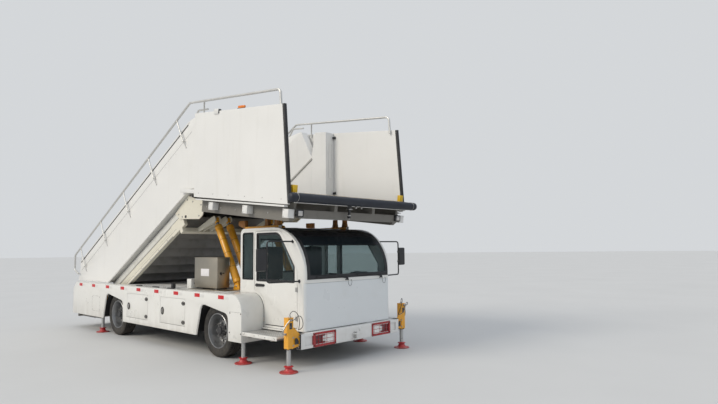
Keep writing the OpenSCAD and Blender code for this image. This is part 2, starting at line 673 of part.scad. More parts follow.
// Each locker door hangs on two lugs against the front end of its box
module locker_door(x, side) color(white) mirror([0, side > 0 ? 1 : 0, 0]) union() {
    upright(-skirt_y, skirt_t) translate([x - locker_w + play, locker_low + play])
        square([locker_w - 2 * play, locker_high - locker_low - 2 * play]);
    for (z = [locker_low + 58, locker_high - 98])
        block([x - 70, -skirt_y + skirt_t - 1, z], [x - fit, -skirt_y + skirt_t + 10, z + 40]);
}
module locker_door_1() locker_door(locker_fronts[0], -1);
module locker_door_2() locker_door(locker_fronts[1], -1);
module locker_door_3() locker_door(locker_fronts[0], 1);
module locker_door_4() locker_door(locker_fronts[1], 1);

// One step in the steps' own frame: its plate from the nosing back, and the
// riser that closes the way down to the step below it
function step_points(with_riser) = concat(
    [[-nosing_lip, -tread_t], [-nosing_lip, 0], [going - fit, 0], [going - fit, -tread_t]],
    with_riser ? [[riser_t, -tread_t], [riser_t, -rise - tread_t], [0, -rise - tread_t], [0, -tread_t]] : []);
step_y = flight_y - fit;
module tread_row(first_s, n, count) translate([first_s, 0, n]) rotate([0, level_slope, 0]) {
    for (k = [0:count - 1])
        translate([k * going, 0, k * rise]) upright(-step_y, 2 * step_y) polygon(step_points(k > 0));
    // The last riser
    upright(-step_y, 2 * step_y) translate([count * going, (count - 1) * rise - tread_t]) square([riser_t, rise + tread_t]);
}

// Cross beam under the lower flight's top end, and the arms that reach forward
// from it to the rods' pins
cross_s = lower_end_s - 180;
cross_w = 80;
arm_t = 20;
arm_ys = [-36 - arm_t, 36];
module lower_flight() color(grey) {
    intersection() {
        on_flight() {
            both_sides() difference() {
                block([-1500, flight_y, lower_low_n], [lower_end_s, flight_out_y, lower_top_n]);
                rod_y(pivot_s, pivot_n, flight_y - 5, flight_out_y + 5, pivot_r + fit);
            }
            tread_row(lower_first_s, lower_nosing_n, lower_treads);
        }
        block([tail_x - 100, -2000, step_z + 13], [nose_x, 2000, 3000]);
    }
    on_flight() {
        block([cross_s, -flight_out_y, lower_low_n - cross_w - fit], [cross_s + cross_w, flight_out_y, lower_low_n - fit]);
        both_sides() for (y = lift_ys, e = arm_ys) upright(y + e, arm_t) polygon([
            [cross_s + cross_w + fit, lower_low_n - 4], [lift_s - 25, lift_n + 62], [lift_s + 45, lift_n + 45],
            [lift_s + 60, lift_n], [lift_s + 45, lift_n - 45], [lift_s - 25, lift_n - 56],
            [cross_s + cross_w + fit, lower_low_n - cross_w]]);
    }
}

// Stringers with slide pads that bear on the lower flight, the steps, and the
// plates that join the stringers' upper ends to the platform's beams
plate_y = flight_out_y + 6;
plate_t = 12;
joint_plate = [[-3240, 2273, 0], [-3098, 2172, 30], [-2459, 2144, 0], [-2350, 2206, 60], [-2268, 2424, 20], [-2623, 2508, 0],
               [-2812, 2564, 0]];
module upper_flight() color(grey) {
    on_flight() {
        both_sides() {
            block([upper_foot_s, flight_y, upper_low_n], [upper_end_s, flight_out_y, upper_top_n]);
            for (s = [upper_foot_s, lower_end_s - 400])
                block([s, flight_y + 5, upper_low_n - flight_gap + fit], [s + 200, flight_out_y - 5, upper_low_n - fit]);
        }
        tread_row(top_nosing_s - upper_treads * pitch, nosing_n, upper_treads);
    }
    both_sides() union() {
        upright(plate_y, plate_t) polygon(rounded([for (p = joint_plate) [nose_x + p[0], p[1], p[2]]]));
        on_flight() block([upper_end_s - 360, flight_out_y + fit, upper_low_n + 20], [upper_end_s - 60, plate_y + 1, upper_low_n + 80]);
    }
}

// Balustrade in side view: foot cut level with the deck, a level top end, and a
// slanted edge down to the platform's inner wall
end_z = over_floor(nose_x - 2250, wall_h + 22)[1];
notch_z = over_floor(gate_x, 740)[1];
function balustrade_points() = let(a = flight_point(0, 0), b = flight_point(3560, 0), c = flight_point(4127, balustrade_h))
    [[flight_x - 1550, deck_z + 6, 0], [a[0] + 40, deck_z + 6, 0], [b[0], b[1], 0],
     [nose_x - 2250, b[1], 0], [gate_x, over_floor(gate_x, -105)[1], 0], [gate_x, notch_z, 0],
     [nose_x - 2250, end_z, 20], [c[0], c[1], 60],
     [flight_x - 1431, flight_point(-1100, balustrade_h)[1] + 20, 30], [flight_x - 1458, deck_z + 175, 30]];
module balustrade() color(white)
    upright(-flight_y - balustrade_t, balustrade_t) polygon(rounded(balustrade_points()));
module balustrade_right() balustrade();
module balustrade_left() mirror([0, 1, 0]) balustrade();

// Platform floor on joists and hollow cross beams, with side beams outside them
side_in = panel_y - panel_t - 0.5;
beam_y0 = 1060;
beam_y1 = 1140;
beam_low = -350;
beam_high = -230;
floor_t = 12;
module platform_floor() color(grey) on_platform() {
    block([floor_rear, -flight_y + 0.5, -floor_t], [floor_front - floor_t - fit, flight_y - 0.5, 0]);
    block([floor_front - floor_t, -side_in, -140], [floor_front, side_in, 0]);
    both_sides() {
        block([-1940, flight_y - 0.5 + fit, -floor_t], [floor_front - floor_t - fit, side_in, 0]);
        // Edge tube that runs on behind the side panel, beside the balustrade
        block([-2860, flight_y + balustrade_t + 8, -110], [-1940 - fit, side_in, -45]);
        upright(beam_y0, beam_y1 - beam_y0) polygon([[-2245, -400], [-40, -400], [40, -330], [40, -215], [-2245, -215]]);
        block([-1480, beam_y0 + 20, -215 + fit], [40, beam_y1 - 20, -floor_t - fit]);
        block([floor_rear + 60, 380, beam_high + fit], [floor_front - floor_t - fit, 440, -floor_t - fit]);
        for (x = [-1880, -970, -40]) block([x, beam_y1 + fit, beam_low], [x + 120, panel_y, beam_high]);
    }
    for (x = [-1880, -970, -40]) block([x, fit - beam_y0, beam_low], [x + 120, beam_y0 - fit, beam_high]);
}

// Side panels, whose ends are upright when parked, with the inner and cross
// walls that join them to the balustrades
wall_t = 20;
cross_x = nose_x - 1580;
function wall_points(x0, x1, low, high) = [over_floor(x0, low), over_floor(x1, low), over_floor(x1, high), over_floor(x0, high)];
module platform_walls() color(white) both_sides() {
    upright(panel_y - panel_t, panel_t)
        polygon(wall_points(nose_x + panel_front - panel_len, nose_x + panel_front, -panel_drop, wall_h));
    upright(flight_y + wall_t + fit, panel_y - panel_t - flight_y - wall_t - 2 * fit)
        polygon(wall_points(cross_x, cross_x + wall_t, fit, wall_h - 8));
    upright(flight_y, wall_t) polygon([
        over_floor(gate_x + fit, fit), over_floor(cross_x + wall_t, fit), over_floor(cross_x + wall_t, wall_h - 8),
        over_floor(gate_x + 97, wall_h - 8), over_floor(gate_x + fit, 740)]);
}

// A round tube in the plane y, straight from a to b or bent through [x, z] points,
// with each bend a piece of its own that butts against the straight lengths
function run(pts, i) = unit(pts[i + 1] - pts[i]);
function setback(pts, i, bend) =
    i == 0 || i == len(pts) - 1 ? 0 : bend * tan(acos(run(pts, i - 1) * run(pts, i)) / 2) + fit;
module tube(a, b, y, r) translate([a[0], y, a[1]]) rotate([0, atan2(b[0] - a[0], b[1] - a[1]), 0])
    cylinder(h = norm(b - a), r = r);
module bent_tube(pts, y, r, bend) {
    for (i = [0:len(pts) - 2])
        tube(pts[i] + run(pts, i) * setback(pts, i, bend), pts[i + 1] - run(pts, i) * setback(pts, i + 1, bend), y, r);
    for (i = [1:len(pts) - 2]) {
        u = run(pts, i - 1);
        v = run(pts, i);
        c = pts[i] + unit(v - u) * bend / cos(acos(u * v) / 2);
        s = pts[i] - u * (setback(pts, i, bend) - fit) - c;
        left = u[0] * v[1] - u[1] * v[0] > 0;
        a0 = atan2(s[1], s[0]) - (left ? 0 : acos(u * v));
        translate([c[0], y, c[1]]) rotate([90, 0, 0]) rotate([0, 0, a0])
            rotate_extrude(angle = acos(u * v)) translate([bend, 0]) circle(r);
    }
}

// Hand rails: one bent tube a side along the balustrade and the side panel, its
// posts, and a short rail on the balustrade's top end
hand_rail_y = flight_y + balustrade_t + 40;
rail_n = balustrade_h + rail_gap;
rail_bend = 70;
post_drop = 230;
post_count = 5;
post_pitch = 1162;
top_post_s = 3800;
rail_foot = flight_point(-1200, rail_n);
rear_post_x = nose_x + panel_front + 185 - panel_len;
front_post_x = nose_x + panel_front - 230;
short_rail_r = 16;
module hand_rails() color(steel) both_sides() {
    bent_tube([
        [flight_x - 1425, 1130], [rail_foot[0], 1215], rail_foot, flight_point(4290, rail_n),
        over_floor(front_post_x, wall_h + rail_gap), over_floor(front_post_x + 22, wall_h - 60)],
        hand_rail_y, rail_r, rail_bend);
    on_flight() for (i = [0:post_count - 1]) translate([top_post_s - i * post_pitch, hand_rail_y, balustrade_h - post_drop]) {
        cylinder(h = post_drop + rail_gap - rail_r - fit, r = post_r);
        block([-post_r - 4, fit - 40, 0], [post_r + 4, 0, 40]);
    }
    tube(over_floor(rear_post_x, wall_h - 60), over_floor(rear_post_x, wall_h + rail_gap - rail_r - 1), hand_rail_y, post_r);
    bent_tube([
        [nose_x - 2690, flight_point(4080, balustrade_h)[1] + 12.8], [nose_x - 2550, end_z + 110],
        [nose_x - 2250, end_z + 80]], flight_y + 60, short_rail_r, 60);
}

module front_buffer() color(black) on_platform()
    rod_y(floor_front + buffer_r + fit, -buffer_r - 2, -buffer_y, buffer_y, buffer_r);

module platform_lamps() color(black) on_platform() both_sides()
    block([80 + fit, 990, beam_low + 20], [118, 1130, beam_high + 5]);

module lift_barrels() color(orange) on_lift() for (y = lift_ys) {
    difference() {
        union() {
            translate([60, y, 0]) rotate([0, 90, 0]) cylinder(h = lift_len - 190, r = barrel_r);
            rod_y(0, 0, y - 30, y + 30, 42);
            block([0, y - 30, -35], [70, y + 30, 35]);
        }
        rod_y(0, 0, y - 60, y + 60, lift_pin_r + fit);
        translate([150, y, 0]) rotate([0, 90, 0]) cylinder(h = lift_len, r = rod_r + fit);
    }
}
module lift_rods(side) color(steel) on_lift() for (y = side * lift_ys) union() {
    translate([160, y, 0]) rotate([0, 90, 0]) cylinder(h = lift_len - 185, r = rod_r);
    rod_y(lift_len, 0, y - 30, y + 30, 42);
}
// Clevis brackets on the deck, with the pins of the barrels' feet
module lift_brackets() color(orange) both_sides() for (y = lift_ys) {
    rod_y(lift_foot[0], lift_foot[1], y - 54, y + 54, lift_pin_r);
    for (e = [-50, 34]) upright(y + e, 16) polygon(rounded([
        [lift_foot[0] - 90, deck_z, 0], [lift_foot[0] - 50, lift_foot[1] + 45, 40],
        [lift_foot[0] + 50, lift_foot[1] + 45, 40], [lift_foot[0] + 90, deck_z, 0]]));
}
module lift_barrels_left() lift_barrels();
module lift_barrels_right() mirror([0, 1, 0]) lift_barrels();
module lift_rods_left() lift_rods(1);
module lift_rods_right() lift_rods(-1);

frame();
deck_beams();
rear_frame();
deck();
skirt_right();
skirt_left();
cab_shell();
front_panel();
windshield();
cab_glass();
bumper();
lamps();
step_boards();
control_box();
seats();
dashboard();
steering_wheel();
front_axle();
rear_axle();
jack_mounts();
mirrors();
roof_rests();
engine();
locker_boxes();
door_right();
door_left();
locker_door_1();
locker_door_2();
locker_door_3();
locker_door_4();
knuckle_right();
knuckle_left();
tyre_front_right();
rim_front_right();
tyre_front_left();
rim_front_left();
tyre_rear_right();
rim_rear_right();
tyre_rear_left();
rim_rear_left();
jack_leg_1();
jack_leg_2();
jack_leg_3();
jack_leg_4();
jack_leg_5();
jack_leg_6();
lower_flight();
upper_flight();
balustrade_right();
balustrade_left();
platform_floor();
platform_walls();
hand_rails();
front_buffer();
platform_lamps();
lift_brackets();
lift_barrels_right();
lift_barrels_left();
lift_rods_right();
lift_rods_left();
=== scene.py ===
"""Looks of the mobile aircraft stairs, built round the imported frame."""
from math import acos, atan2, copysign, cos, exp, hypot, pi, radians, sin, sqrt, tan

import bmesh
import bpy
from mathutils import Matrix, Vector


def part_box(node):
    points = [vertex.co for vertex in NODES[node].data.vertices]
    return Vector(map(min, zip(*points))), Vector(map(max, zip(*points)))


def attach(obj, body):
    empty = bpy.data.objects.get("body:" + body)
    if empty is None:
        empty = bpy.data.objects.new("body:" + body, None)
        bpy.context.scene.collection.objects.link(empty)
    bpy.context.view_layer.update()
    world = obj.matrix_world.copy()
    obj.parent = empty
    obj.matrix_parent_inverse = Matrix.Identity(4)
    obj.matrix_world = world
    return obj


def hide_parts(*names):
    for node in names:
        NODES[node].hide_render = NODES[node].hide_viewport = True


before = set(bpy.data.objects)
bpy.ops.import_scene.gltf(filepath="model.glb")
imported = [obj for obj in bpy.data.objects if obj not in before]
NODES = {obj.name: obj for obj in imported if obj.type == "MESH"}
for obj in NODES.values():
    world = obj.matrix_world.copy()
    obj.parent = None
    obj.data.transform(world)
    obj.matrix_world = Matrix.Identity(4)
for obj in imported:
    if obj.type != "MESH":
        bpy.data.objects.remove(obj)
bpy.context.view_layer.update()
scene = bpy.context.scene


def centre(node):
    lo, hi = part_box(node)
    return (lo + hi) / 2


NOSE = centre("jack_leg_1").x
FRONT_AXLE = centre("tyre_front_right").x
REAR_AXLE = centre("tyre_rear_right").x


# Materials
class Mat:
    """A node material with one Principled shader and helpers that feed it."""

    def __init__(self, name, color, rough=0.5, metal=0.0, coat=0.0, coat_rough=0.03):
        self.mat = bpy.data.materials.new(name)
        self.mat.use_nodes = True
        self.tree = self.mat.node_tree
        self.bsdf = self.tree.nodes["Principled BSDF"]
        for key, value in (("Base Color", (*color, 1)), ("Roughness", rough), ("Metallic", metal),
                ("Coat Weight", coat), ("Coat Roughness", coat_rough)):
            self.bsdf.inputs[key].default_value = value
        self.color = color
        self.normal = self.shade = None

    def node(self, kind, **values):
        n = self.tree.nodes.new(kind)
        for key, value in values.items():
            if hasattr(n, key):
                setattr(n, key, value)
            else:
                n.inputs[key].default_value = value
        return n

    def link(self, a, b):
        self.tree.links.new(a, b)

    def noise(self, scale, detail=4, stretch=(1, 1, 1)):
        """Noise in the object's own space, with each axis scaled by stretch."""
        c = self.node("ShaderNodeTexCoord")
        m = self.node("ShaderNodeMapping", Scale=stretch)
        self.link(c.outputs["Object"], m.inputs["Vector"])
        n = self.node("ShaderNodeTexNoise", Scale=scale, Detail=detail, Roughness=0.55)
        self.link(m.outputs["Vector"], n.inputs["Vector"])
        return n.outputs["Fac"]

    def ramp(self, fac, stops):
        """Grey levels between two stops, each (position, value)."""
        r = self.node("ShaderNodeValToRGB")
        for el, (pos, value) in zip(r.color_ramp.elements, stops):
            el.position = pos
            el.color = (value, value, value, 1)
        self.link(fac, r.inputs["Fac"])
        return r.outputs["Color"]

    def math(self, op, a, b=0.5):
        n = self.node("ShaderNodeMath", operation=op)
        for i, v in enumerate((a, b)):
            if isinstance(v, (int, float)):
                n.inputs[i].default_value = v
            else:
                self.link(v, n.inputs[i])
        return n.outputs[0]

    def mix(self, fac, a, b):
        """From colour a to colour b by fac. Each may be a value or a socket."""
        n = self.node("ShaderNodeMix", data_type="RGBA")
        for socket, v in ((n.inputs[0], fac), (n.inputs[6], a), (n.inputs[7], b)):
            if isinstance(v, (int, float)):
                socket.default_value = v
            elif isinstance(v, tuple):
                socket.default_value = (*v, 1) if len(v) == 3 else v
            else:
                self.link(v, socket)
        return n.outputs[2]

    def paint(self, value):
        """Lays a colour over what the base colour is so far."""
        self.shade = value
        self.link(value, self.bsdf.inputs["Base Color"])
        return self

    def base(self):
        return self.shade if self.shade is not None else (*self.color, 1)

    def vary(self, scale, amount, stretch=(1, 1, 1)):
        """Slow change of brightness over the surface."""
        low = tuple(c * (1 - amount) for c in self.color)
        high = tuple(min(1, c * (1 + amount * 0.6)) for c in self.color)
        fac = self.ramp(self.noise(scale, 4, stretch), [(0.3, 0.0), (0.7, 1.0)])
        return self.paint(self.mix(fac, low, high))

    def roughen(self, scale, low, high, stretch=(1, 1, 1)):
        """Roughness that wanders between low and high."""
        r = self.ramp(self.noise(scale, 5, stretch), [(0.3, low), (0.7, high)])
        self.link(r, self.bsdf.inputs["Roughness"])
        return self

    def turn_normal(self, n):
        """Puts a bump or bevel node after those that act on the normal already."""
        if self.normal is not None:
            self.link(self.normal, n.inputs["Normal"])
        self.normal = n.outputs["Normal"]
        self.link(self.normal, self.bsdf.inputs["Normal"])
        return self

    def grain(self, scale, detail, strength, distance, stretch=(1, 1, 1)):
        """Bumps from a noise."""
        n = self.node("ShaderNodeBump", Strength=strength, Distance=distance)
        self.link(self.noise(scale, detail, stretch), n.inputs["Height"])
        return self.turn_normal(n)

    def soften(self, radius):
        """Rounded look on the hard edges of a carried-over solid."""
        return self.turn_normal(self.node("ShaderNodeBevel", samples=4, Radius=radius))

    def grime(self, color, low, high, amount=0.5, scale=6.0):
        """Dirt that fades out from height low to height high."""
        g = self.node("ShaderNodeNewGeometry")
        s = self.node("ShaderNodeSeparateXYZ")
        self.link(g.outputs["Position"], s.inputs[0])
        m = self.node("ShaderNodeMapRange", **{"From Min": low, "From Max": high, "To Min": 1, "To Max": 0})
        self.link(s.outputs["Z"], m.inputs["Value"])
        n = self.ramp(self.noise(scale, 8, (1, 1, 0.35)), [(0.35, 0.0), (0.75, 1.0)])
        fac = self.math("MULTIPLY", self.math("MULTIPLY", m.outputs[0], n), amount)
        return self.paint(self.mix(fac, self.base(), color))

    def wear(self, color, amount, scale, low, high, detail=8, stretch=(1, 1, 1)):
        """Scuffs and chips in patches."""
        fac = self.ramp(self.noise(scale, detail, stretch), [(low, 0.0), (high, amount)])
        return self.paint(self.mix(fac, self.base(), color))


M = {}


def add(name, *args, **kw):
    M[name] = Mat(name, *args, **kw)
    return M[name]


DUST = (0.36, 0.32, 0.26)
m = add("body_white", (0.8, 0.79, 0.75), 0.32, coat=0.35, coat_rough=0.08)
m.vary(0.9, 0.035).wear((0.7, 0.68, 0.63), 0.35, 5.0, 0.52, 0.75).grime(DUST, 0.25, 0.62, 0.42)
m.roughen(3.0, 0.24, 0.42).soften(0.004).grain(160, 2, 0.05, 0.0006).grain(1.1, 2, 0.12, 0.02)
m = add("panel_white", (0.82, 0.81, 0.78), 0.38, coat=0.2, coat_rough=0.2)
m.vary(0.6, 0.03).wear((0.68, 0.67, 0.62), 0.3, 2.2, 0.55, 0.9)
m.wear((0.5, 0.47, 0.4), 0.16, 7, 0.55, 0.85, 6, (1, 1, 0.12))
m.roughen(2.5, 0.3, 0.5).soften(0.003).grain(90, 3, 0.05, 0.0006).grain(0.9, 2, 0.25, 0.03)
m = add("cream", (0.76, 0.72, 0.6), 0.42, coat=0.15, coat_rough=0.2)
m.vary(1.4, 0.05).wear((0.55, 0.5, 0.4), 0.4, 8.0, 0.58, 0.8).roughen(4, 0.34, 0.55).soften(0.003)
m.grain(120, 3, 0.08, 0.0006)
m = add("deck_grey", (0.62, 0.62, 0.6), 0.55)
m.vary(1.5, 0.08).wear((0.35, 0.33, 0.3), 0.55, 7.0, 0.55, 0.8).roughen(6, 0.45, 0.7).soften(0.003)
m.grain(300, 2, 0.25, 0.0008)
m = add("frame_grey", (0.2, 0.2, 0.195), 0.6)
m.vary(3, 0.2).wear((0.1, 0.085, 0.07), 0.6, 9, 0.5, 0.8).grime(DUST, 0.2, 0.7, 0.6).soften(0.004)
m.grain(180, 4, 0.2, 0.001)
m = add("axle_black", (0.035, 0.035, 0.037), 0.55)
m.vary(4, 0.3).wear((0.12, 0.09, 0.065), 0.6, 10, 0.52, 0.75).grime(DUST, 0.15, 0.6, 0.5)
m.grain(220, 4, 0.3, 0.001)
# Greyer than cream: painted shade of the upper stringers, which lie under the balustrades
m = add("flight_paint", (0.7, 0.69, 0.64), 0.45, coat=0.1, coat_rough=0.3)
m.vary(1.8, 0.07).wear((0.3, 0.28, 0.24), 0.5, 9, 0.55, 0.8).roughen(5, 0.36, 0.6).soften(0.003)
m.grain(140, 3, 0.1, 0.0008)
m = add("orange_paint", (0.86, 0.4, 0.025), 0.36, coat=0.3, coat_rough=0.12)
m.vary(3.5, 0.12).wear((0.42, 0.22, 0.06), 0.5, 12, 0.62, 0.8).roughen(9, 0.28, 0.5)
m.grain(200, 3, 0.06, 0.0004)
# Dark orange: the orange paint with painted shade, for the parts in shadow near the cab roof
m = add("dark_orange", (0.42, 0.17, 0.03), 0.5)
m.vary(5, 0.25).wear((0.08, 0.05, 0.03), 0.7, 16, 0.5, 0.66).roughen(8, 0.4, 0.65).grain(150, 4, 0.2, 0.001)
m = add("stainless", (0.43, 0.39, 0.32), 0.34, 0.9)
m.vary(2, 0.12).roughen(60, 0.26, 0.46, (1, 1, 0.03)).soften(0.004)
m.grain(900, 3, 0.12, 0.0004, (1, 1, 0.015)).grain(3.0, 2, 0.2, 0.01)
add("rail_steel", (0.66, 0.65, 0.62), 0.4, 0.7).vary(6, 0.08).roughen(30, 0.36, 0.52)
m = add("tread_metal", (0.5, 0.5, 0.49), 0.42, 0.85)
m.vary(3, 0.15).wear((0.2, 0.19, 0.17), 0.55, 12, 0.52, 0.75).roughen(14, 0.32, 0.6)
m = add("rim_silver", (0.36, 0.365, 0.37), 0.3, 0.8, coat=0.2)
m.vary(5, 0.1).grime((0.1, 0.085, 0.07), 0.1, 0.75, 0.55, 12).roughen(12, 0.24, 0.5)
m.wear((0.12, 0.09, 0.07), 0.5, 26, 0.58, 0.72).grain(260, 3, 0.12, 0.0006)
m = add("hub_black", (0.03, 0.03, 0.032), 0.45)
m.vary(6, 0.3).wear((0.22, 0.2, 0.18), 0.5, 24, 0.55, 0.7).grain(260, 3, 0.2, 0.0006)
m = add("tyre_rubber", (0.022, 0.021, 0.02), 0.72)
m.vary(5, 0.25).wear((0.085, 0.073, 0.058), 0.7, 7, 0.42, 0.8).grime((0.13, 0.11, 0.085), 0.0, 0.42, 0.6, 9)
m.roughen(20, 0.62, 0.88).grain(500, 4, 0.25, 0.0007)
m = add("black_rubber", (0.018, 0.018, 0.02), 0.5)
m.vary(4, 0.3).wear((0.055, 0.055, 0.055), 0.6, 14, 0.5, 0.8).roughen(10, 0.38, 0.62)
m.grain(220, 4, 0.15, 0.0008)
m = add("buffer_cover", (0.008, 0.011, 0.02), 0.5, coat=0.06, coat_rough=0.3)
m.vary(3, 0.3, (1, 0.3, 1)).roughen(8, 0.42, 0.62, (1, 0.25, 1))
m.grain(700, 2, 0.2, 0.0005).grain(9, 4, 0.35, 0.012, (1, 0.45, 1))
m = add("black_plastic", (0.022, 0.022, 0.024), 0.42)
m.vary(6, 0.2).roughen(20, 0.34, 0.55).grain(380, 2, 0.25, 0.0005)
add("cab_dark", (0.045, 0.045, 0.048), 0.65).vary(5, 0.25).grain(420, 3, 0.3, 0.0006)
add("seat_vinyl", (0.03, 0.03, 0.034), 0.5).vary(6, 0.2).grain(300, 4, 0.4, 0.001)
m = add("jack_red", (0.52, 0.02, 0.025), 0.4, coat=0.2)
m.vary(6, 0.12).wear((0.2, 0.05, 0.04), 0.6, 22, 0.55, 0.7).grime(DUST, 0.0, 0.07, 0.5, 14)
m.roughen(10, 0.3, 0.55).grain(240, 3, 0.15, 0.0007)
m = add("jack_tube", (0.5, 0.5, 0.49), 0.34, 0.7)
m.vary(6, 0.1).wear((0.24, 0.22, 0.2), 0.5, 18, 0.55, 0.75).roughen(14, 0.26, 0.5)
m.grain(400, 3, 0.1, 0.0004, (1, 1, 0.05))
add("rod_chrome", (0.72, 0.72, 0.72), 0.12, 1.0).vary(4, 0.05).roughen(20, 0.08, 0.2)
add("zinc", (0.46, 0.45, 0.43), 0.38, 0.85).vary(20, 0.15).roughen(40, 0.28, 0.52)
add("hose", (0.02, 0.02, 0.021), 0.42).vary(12, 0.25).grain(600, 2, 0.25, 0.0004)
add("lamp_red", (0.36, 0.008, 0.012), 0.22, coat=0.5).vary(12, 0.15).roughen(14, 0.16, 0.3)
m = add("lamp_lens", (0.62, 0.6, 0.58), 0.12, 0.3, coat=0.6)
m.vary(30, 0.3, (1, 1, 6)).grain(90, 1, 0.3, 0.002, (1, 0.2, 1))
add("reflector_red", (0.6, 0.003, 0.006), 0.34, coat=0.15).vary(14, 0.1)
add("reflector_white", (0.74, 0.73, 0.7), 0.3, coat=0.3).vary(14, 0.08)
add("amber", (0.85, 0.22, 0.01), 0.2, coat=0.4).vary(10, 0.1)
add("latch_dark", (0.055, 0.05, 0.045), 0.32, 0.5).vary(20, 0.3).wear((0.3, 0.28, 0.25), 0.6, 60, 0.55, 0.7)
add("label_white", (0.8, 0.78, 0.78), 0.5).vary(20, 0.06).grain(200, 2, 0.05, 0.0004)
m = add("front_white", (0.74, 0.76, 0.76), 0.34, coat=0.3, coat_rough=0.15)
m.vary(0.8, 0.03).wear((0.64, 0.64, 0.61), 0.3, 4.0, 0.55, 0.8).roughen(3, 0.26, 0.42)
m.grain(150, 2, 0.05, 0.0006).grain(1.0, 2, 0.15, 0.02)
m = add("bumper_white", (0.8, 0.79, 0.76), 0.36, coat=0.25, coat_rough=0.15)
m.vary(2.0, 0.04).wear((0.6, 0.57, 0.5), 0.4, 9.0, 0.56, 0.8).grime(DUST, 0.25, 0.5, 0.3)
m.grain(150, 2, 0.06, 0.0006)
add("tint_band", (0.014, 0.02, 0.024), 0.12).vary(2, 0.2)
add("steel_post", (0.3, 0.3, 0.3), 0.4, 0.8).vary(10, 0.15)
# Dark grey for the steps' undersides: painted shade
m = add("step_under", (0.25, 0.245, 0.235), 0.5, 0.3)
m.vary(1.6, 0.15).wear((0.14, 0.13, 0.12), 0.5, 8, 0.5, 0.8).roughen(8, 0.4, 0.62).grain(200, 3, 0.15, 0.0008)
add("flange_grey", (0.44, 0.43, 0.4), 0.5).vary(3, 0.1).wear((0.24, 0.22, 0.19), 0.5, 12, 0.55, 0.8)
# Platform under-frame: dark grey that is painted shade, darker than the frame's own paint
m = add("under_grey", (0.2, 0.188, 0.165), 0.5)
m.vary(2, 0.1).wear((0.11, 0.1, 0.085), 0.5, 9, 0.55, 0.8).grain(160, 3, 0.1, 0.0008)
add("lamp_glow", (0.11, 0.012, 0.018), 0.3, coat=0.3).vary(30, 0.3)
# Black of the wheel-well liners: partly their own colour, partly painted shade inside the arches
add("liner_black", (0.016, 0.016, 0.016), 0.8).vary(5, 0.3).grain(300, 3, 0.3, 0.0008)
add("groove_grey", (0.2, 0.2, 0.2), 0.5).vary(12, 0.2)
add("hose_grey", (0.16, 0.16, 0.155), 0.4, 0.3).vary(30, 0.25).grain(500, 2, 0.3, 0.0005)
add("mirror_face", (0.8, 0.82, 0.83), 0.03, 1.0).vary(2, 0.03)
add("seam_dark", (0.1, 0.095, 0.085), 0.6).vary(12, 0.2)
add("yellow", (0.8, 0.5, 0.02), 0.45).vary(10, 0.1)

# Window glass: part clear, part dark gloss, darker at a slant
g = add("cab_window", (0.03, 0.042, 0.044), 0.02)
g.vary(1.5, 0.12).roughen(5, 0.02, 0.05)
clear = g.node("ShaderNodeBsdfTransparent")
clear.inputs["Color"].default_value = (0.84, 0.9, 0.9, 1)
facing = g.node("ShaderNodeLayerWeight").outputs["Facing"]
edge = g.math("MULTIPLY", g.math("POWER", facing, 3.0), 0.45)
blend = g.node("ShaderNodeMixShader")
g.link(g.math("MINIMUM", g.math("ADD", edge, 0.2), 1.0), blend.inputs[0])
g.link(clear.outputs[0], blend.inputs[1])
g.link(g.bsdf.outputs[0], blend.inputs[2])
g.link(blend.outputs[0], g.tree.nodes["Material Output"].inputs["Surface"])

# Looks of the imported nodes, by the starts of their names. The first that fits counts, and the rest are white.
NODE_LOOKS = {"frame_grey": ("frame", "deck_beams", "rear_frame"), "deck_grey": ("deck", "platform_floor"),
    "cab_window": ("windshield", "cab_glass"), "lamp_red": ("lamps",), "stainless": ("control_box",),
    "seat_vinyl": ("seats",), "cab_dark": ("dashboard",), "rail_steel": ("hand_rails",),
    "black_plastic": ("steering_wheel", "mirrors", "platform_lamps"), "buffer_cover": ("front_buffer",),
    "axle_black": ("front_axle", "rear_axle", "knuckle_", "engine"), "rod_chrome": ("lift_rods",),
    "orange_paint": ("jack_mounts", "roof_rests", "lift_brackets", "lift_barrels"), "jack_red": ("jack_leg",),
    "flight_paint": ("lower_flight", "upper_flight"), "panel_white": ("platform_walls", "balustrade_"),
    "tyre_rubber": ("tyre_",), "rim_silver": ("rim_",)}
for name, obj in NODES.items():
    looks = [look for look, starts in NODE_LOOKS.items() if name.startswith(starts)] + ["body_white"]
    obj.data.materials.clear()
    obj.data.materials.append(M[looks[0]].mat)


# Piece builder. Lengths are in metres, and X is measured from the front jacks' line.
FRONT_X, REAR_X, AXLE_Z = -1.64, -5.11, 0.398
PIVOT_X, PIVOT_Z, SLOPE = -5.787, 0.979, radians(28.1)
FLOOR_Z, TILT = 2.4, radians(6.5)
FLIGHT = Matrix.Translation((PIVOT_X, 0, PIVOT_Z)) @ Matrix.Rotation(-SLOPE, 4, "Y")
PLATFORM = Matrix.Translation((0, 0, FLOOR_Z)) @ Matrix.Rotation(TILT, 4, "Y")
AXES = {"X": Matrix.Rotation(radians(90), 4, "Y"), "Y": Matrix.Rotation(radians(-90), 4, "X"), "Z": Matrix()}
SIDES = (("right", -1), ("left", 1))


def over(x, h):
    """Height of a point h above the platform floor."""
    return FLOOR_Z - x * tan(TILT) + h / cos(TILT)


def spot(x, y, z, axis="Z", turn=0.0):
    """A place whose own Z runs along the axis."""
    return Matrix.Translation((x, y, z)) @ AXES[axis] @ Matrix.Rotation(turn, 4, "Z")


def stretch(x, y, z=1):
    return Matrix.Diagonal((x, y, z, 1))


def turns(n):
    """n angles, evenly round a circle."""
    return [2 * pi * k / n for k in range(n)]


def mirror(bm):
    """Reflects a mesh to the other side of the truck."""
    bm.transform(stretch(1, -1))
    bmesh.ops.reverse_faces(bm, faces=bm.faces)


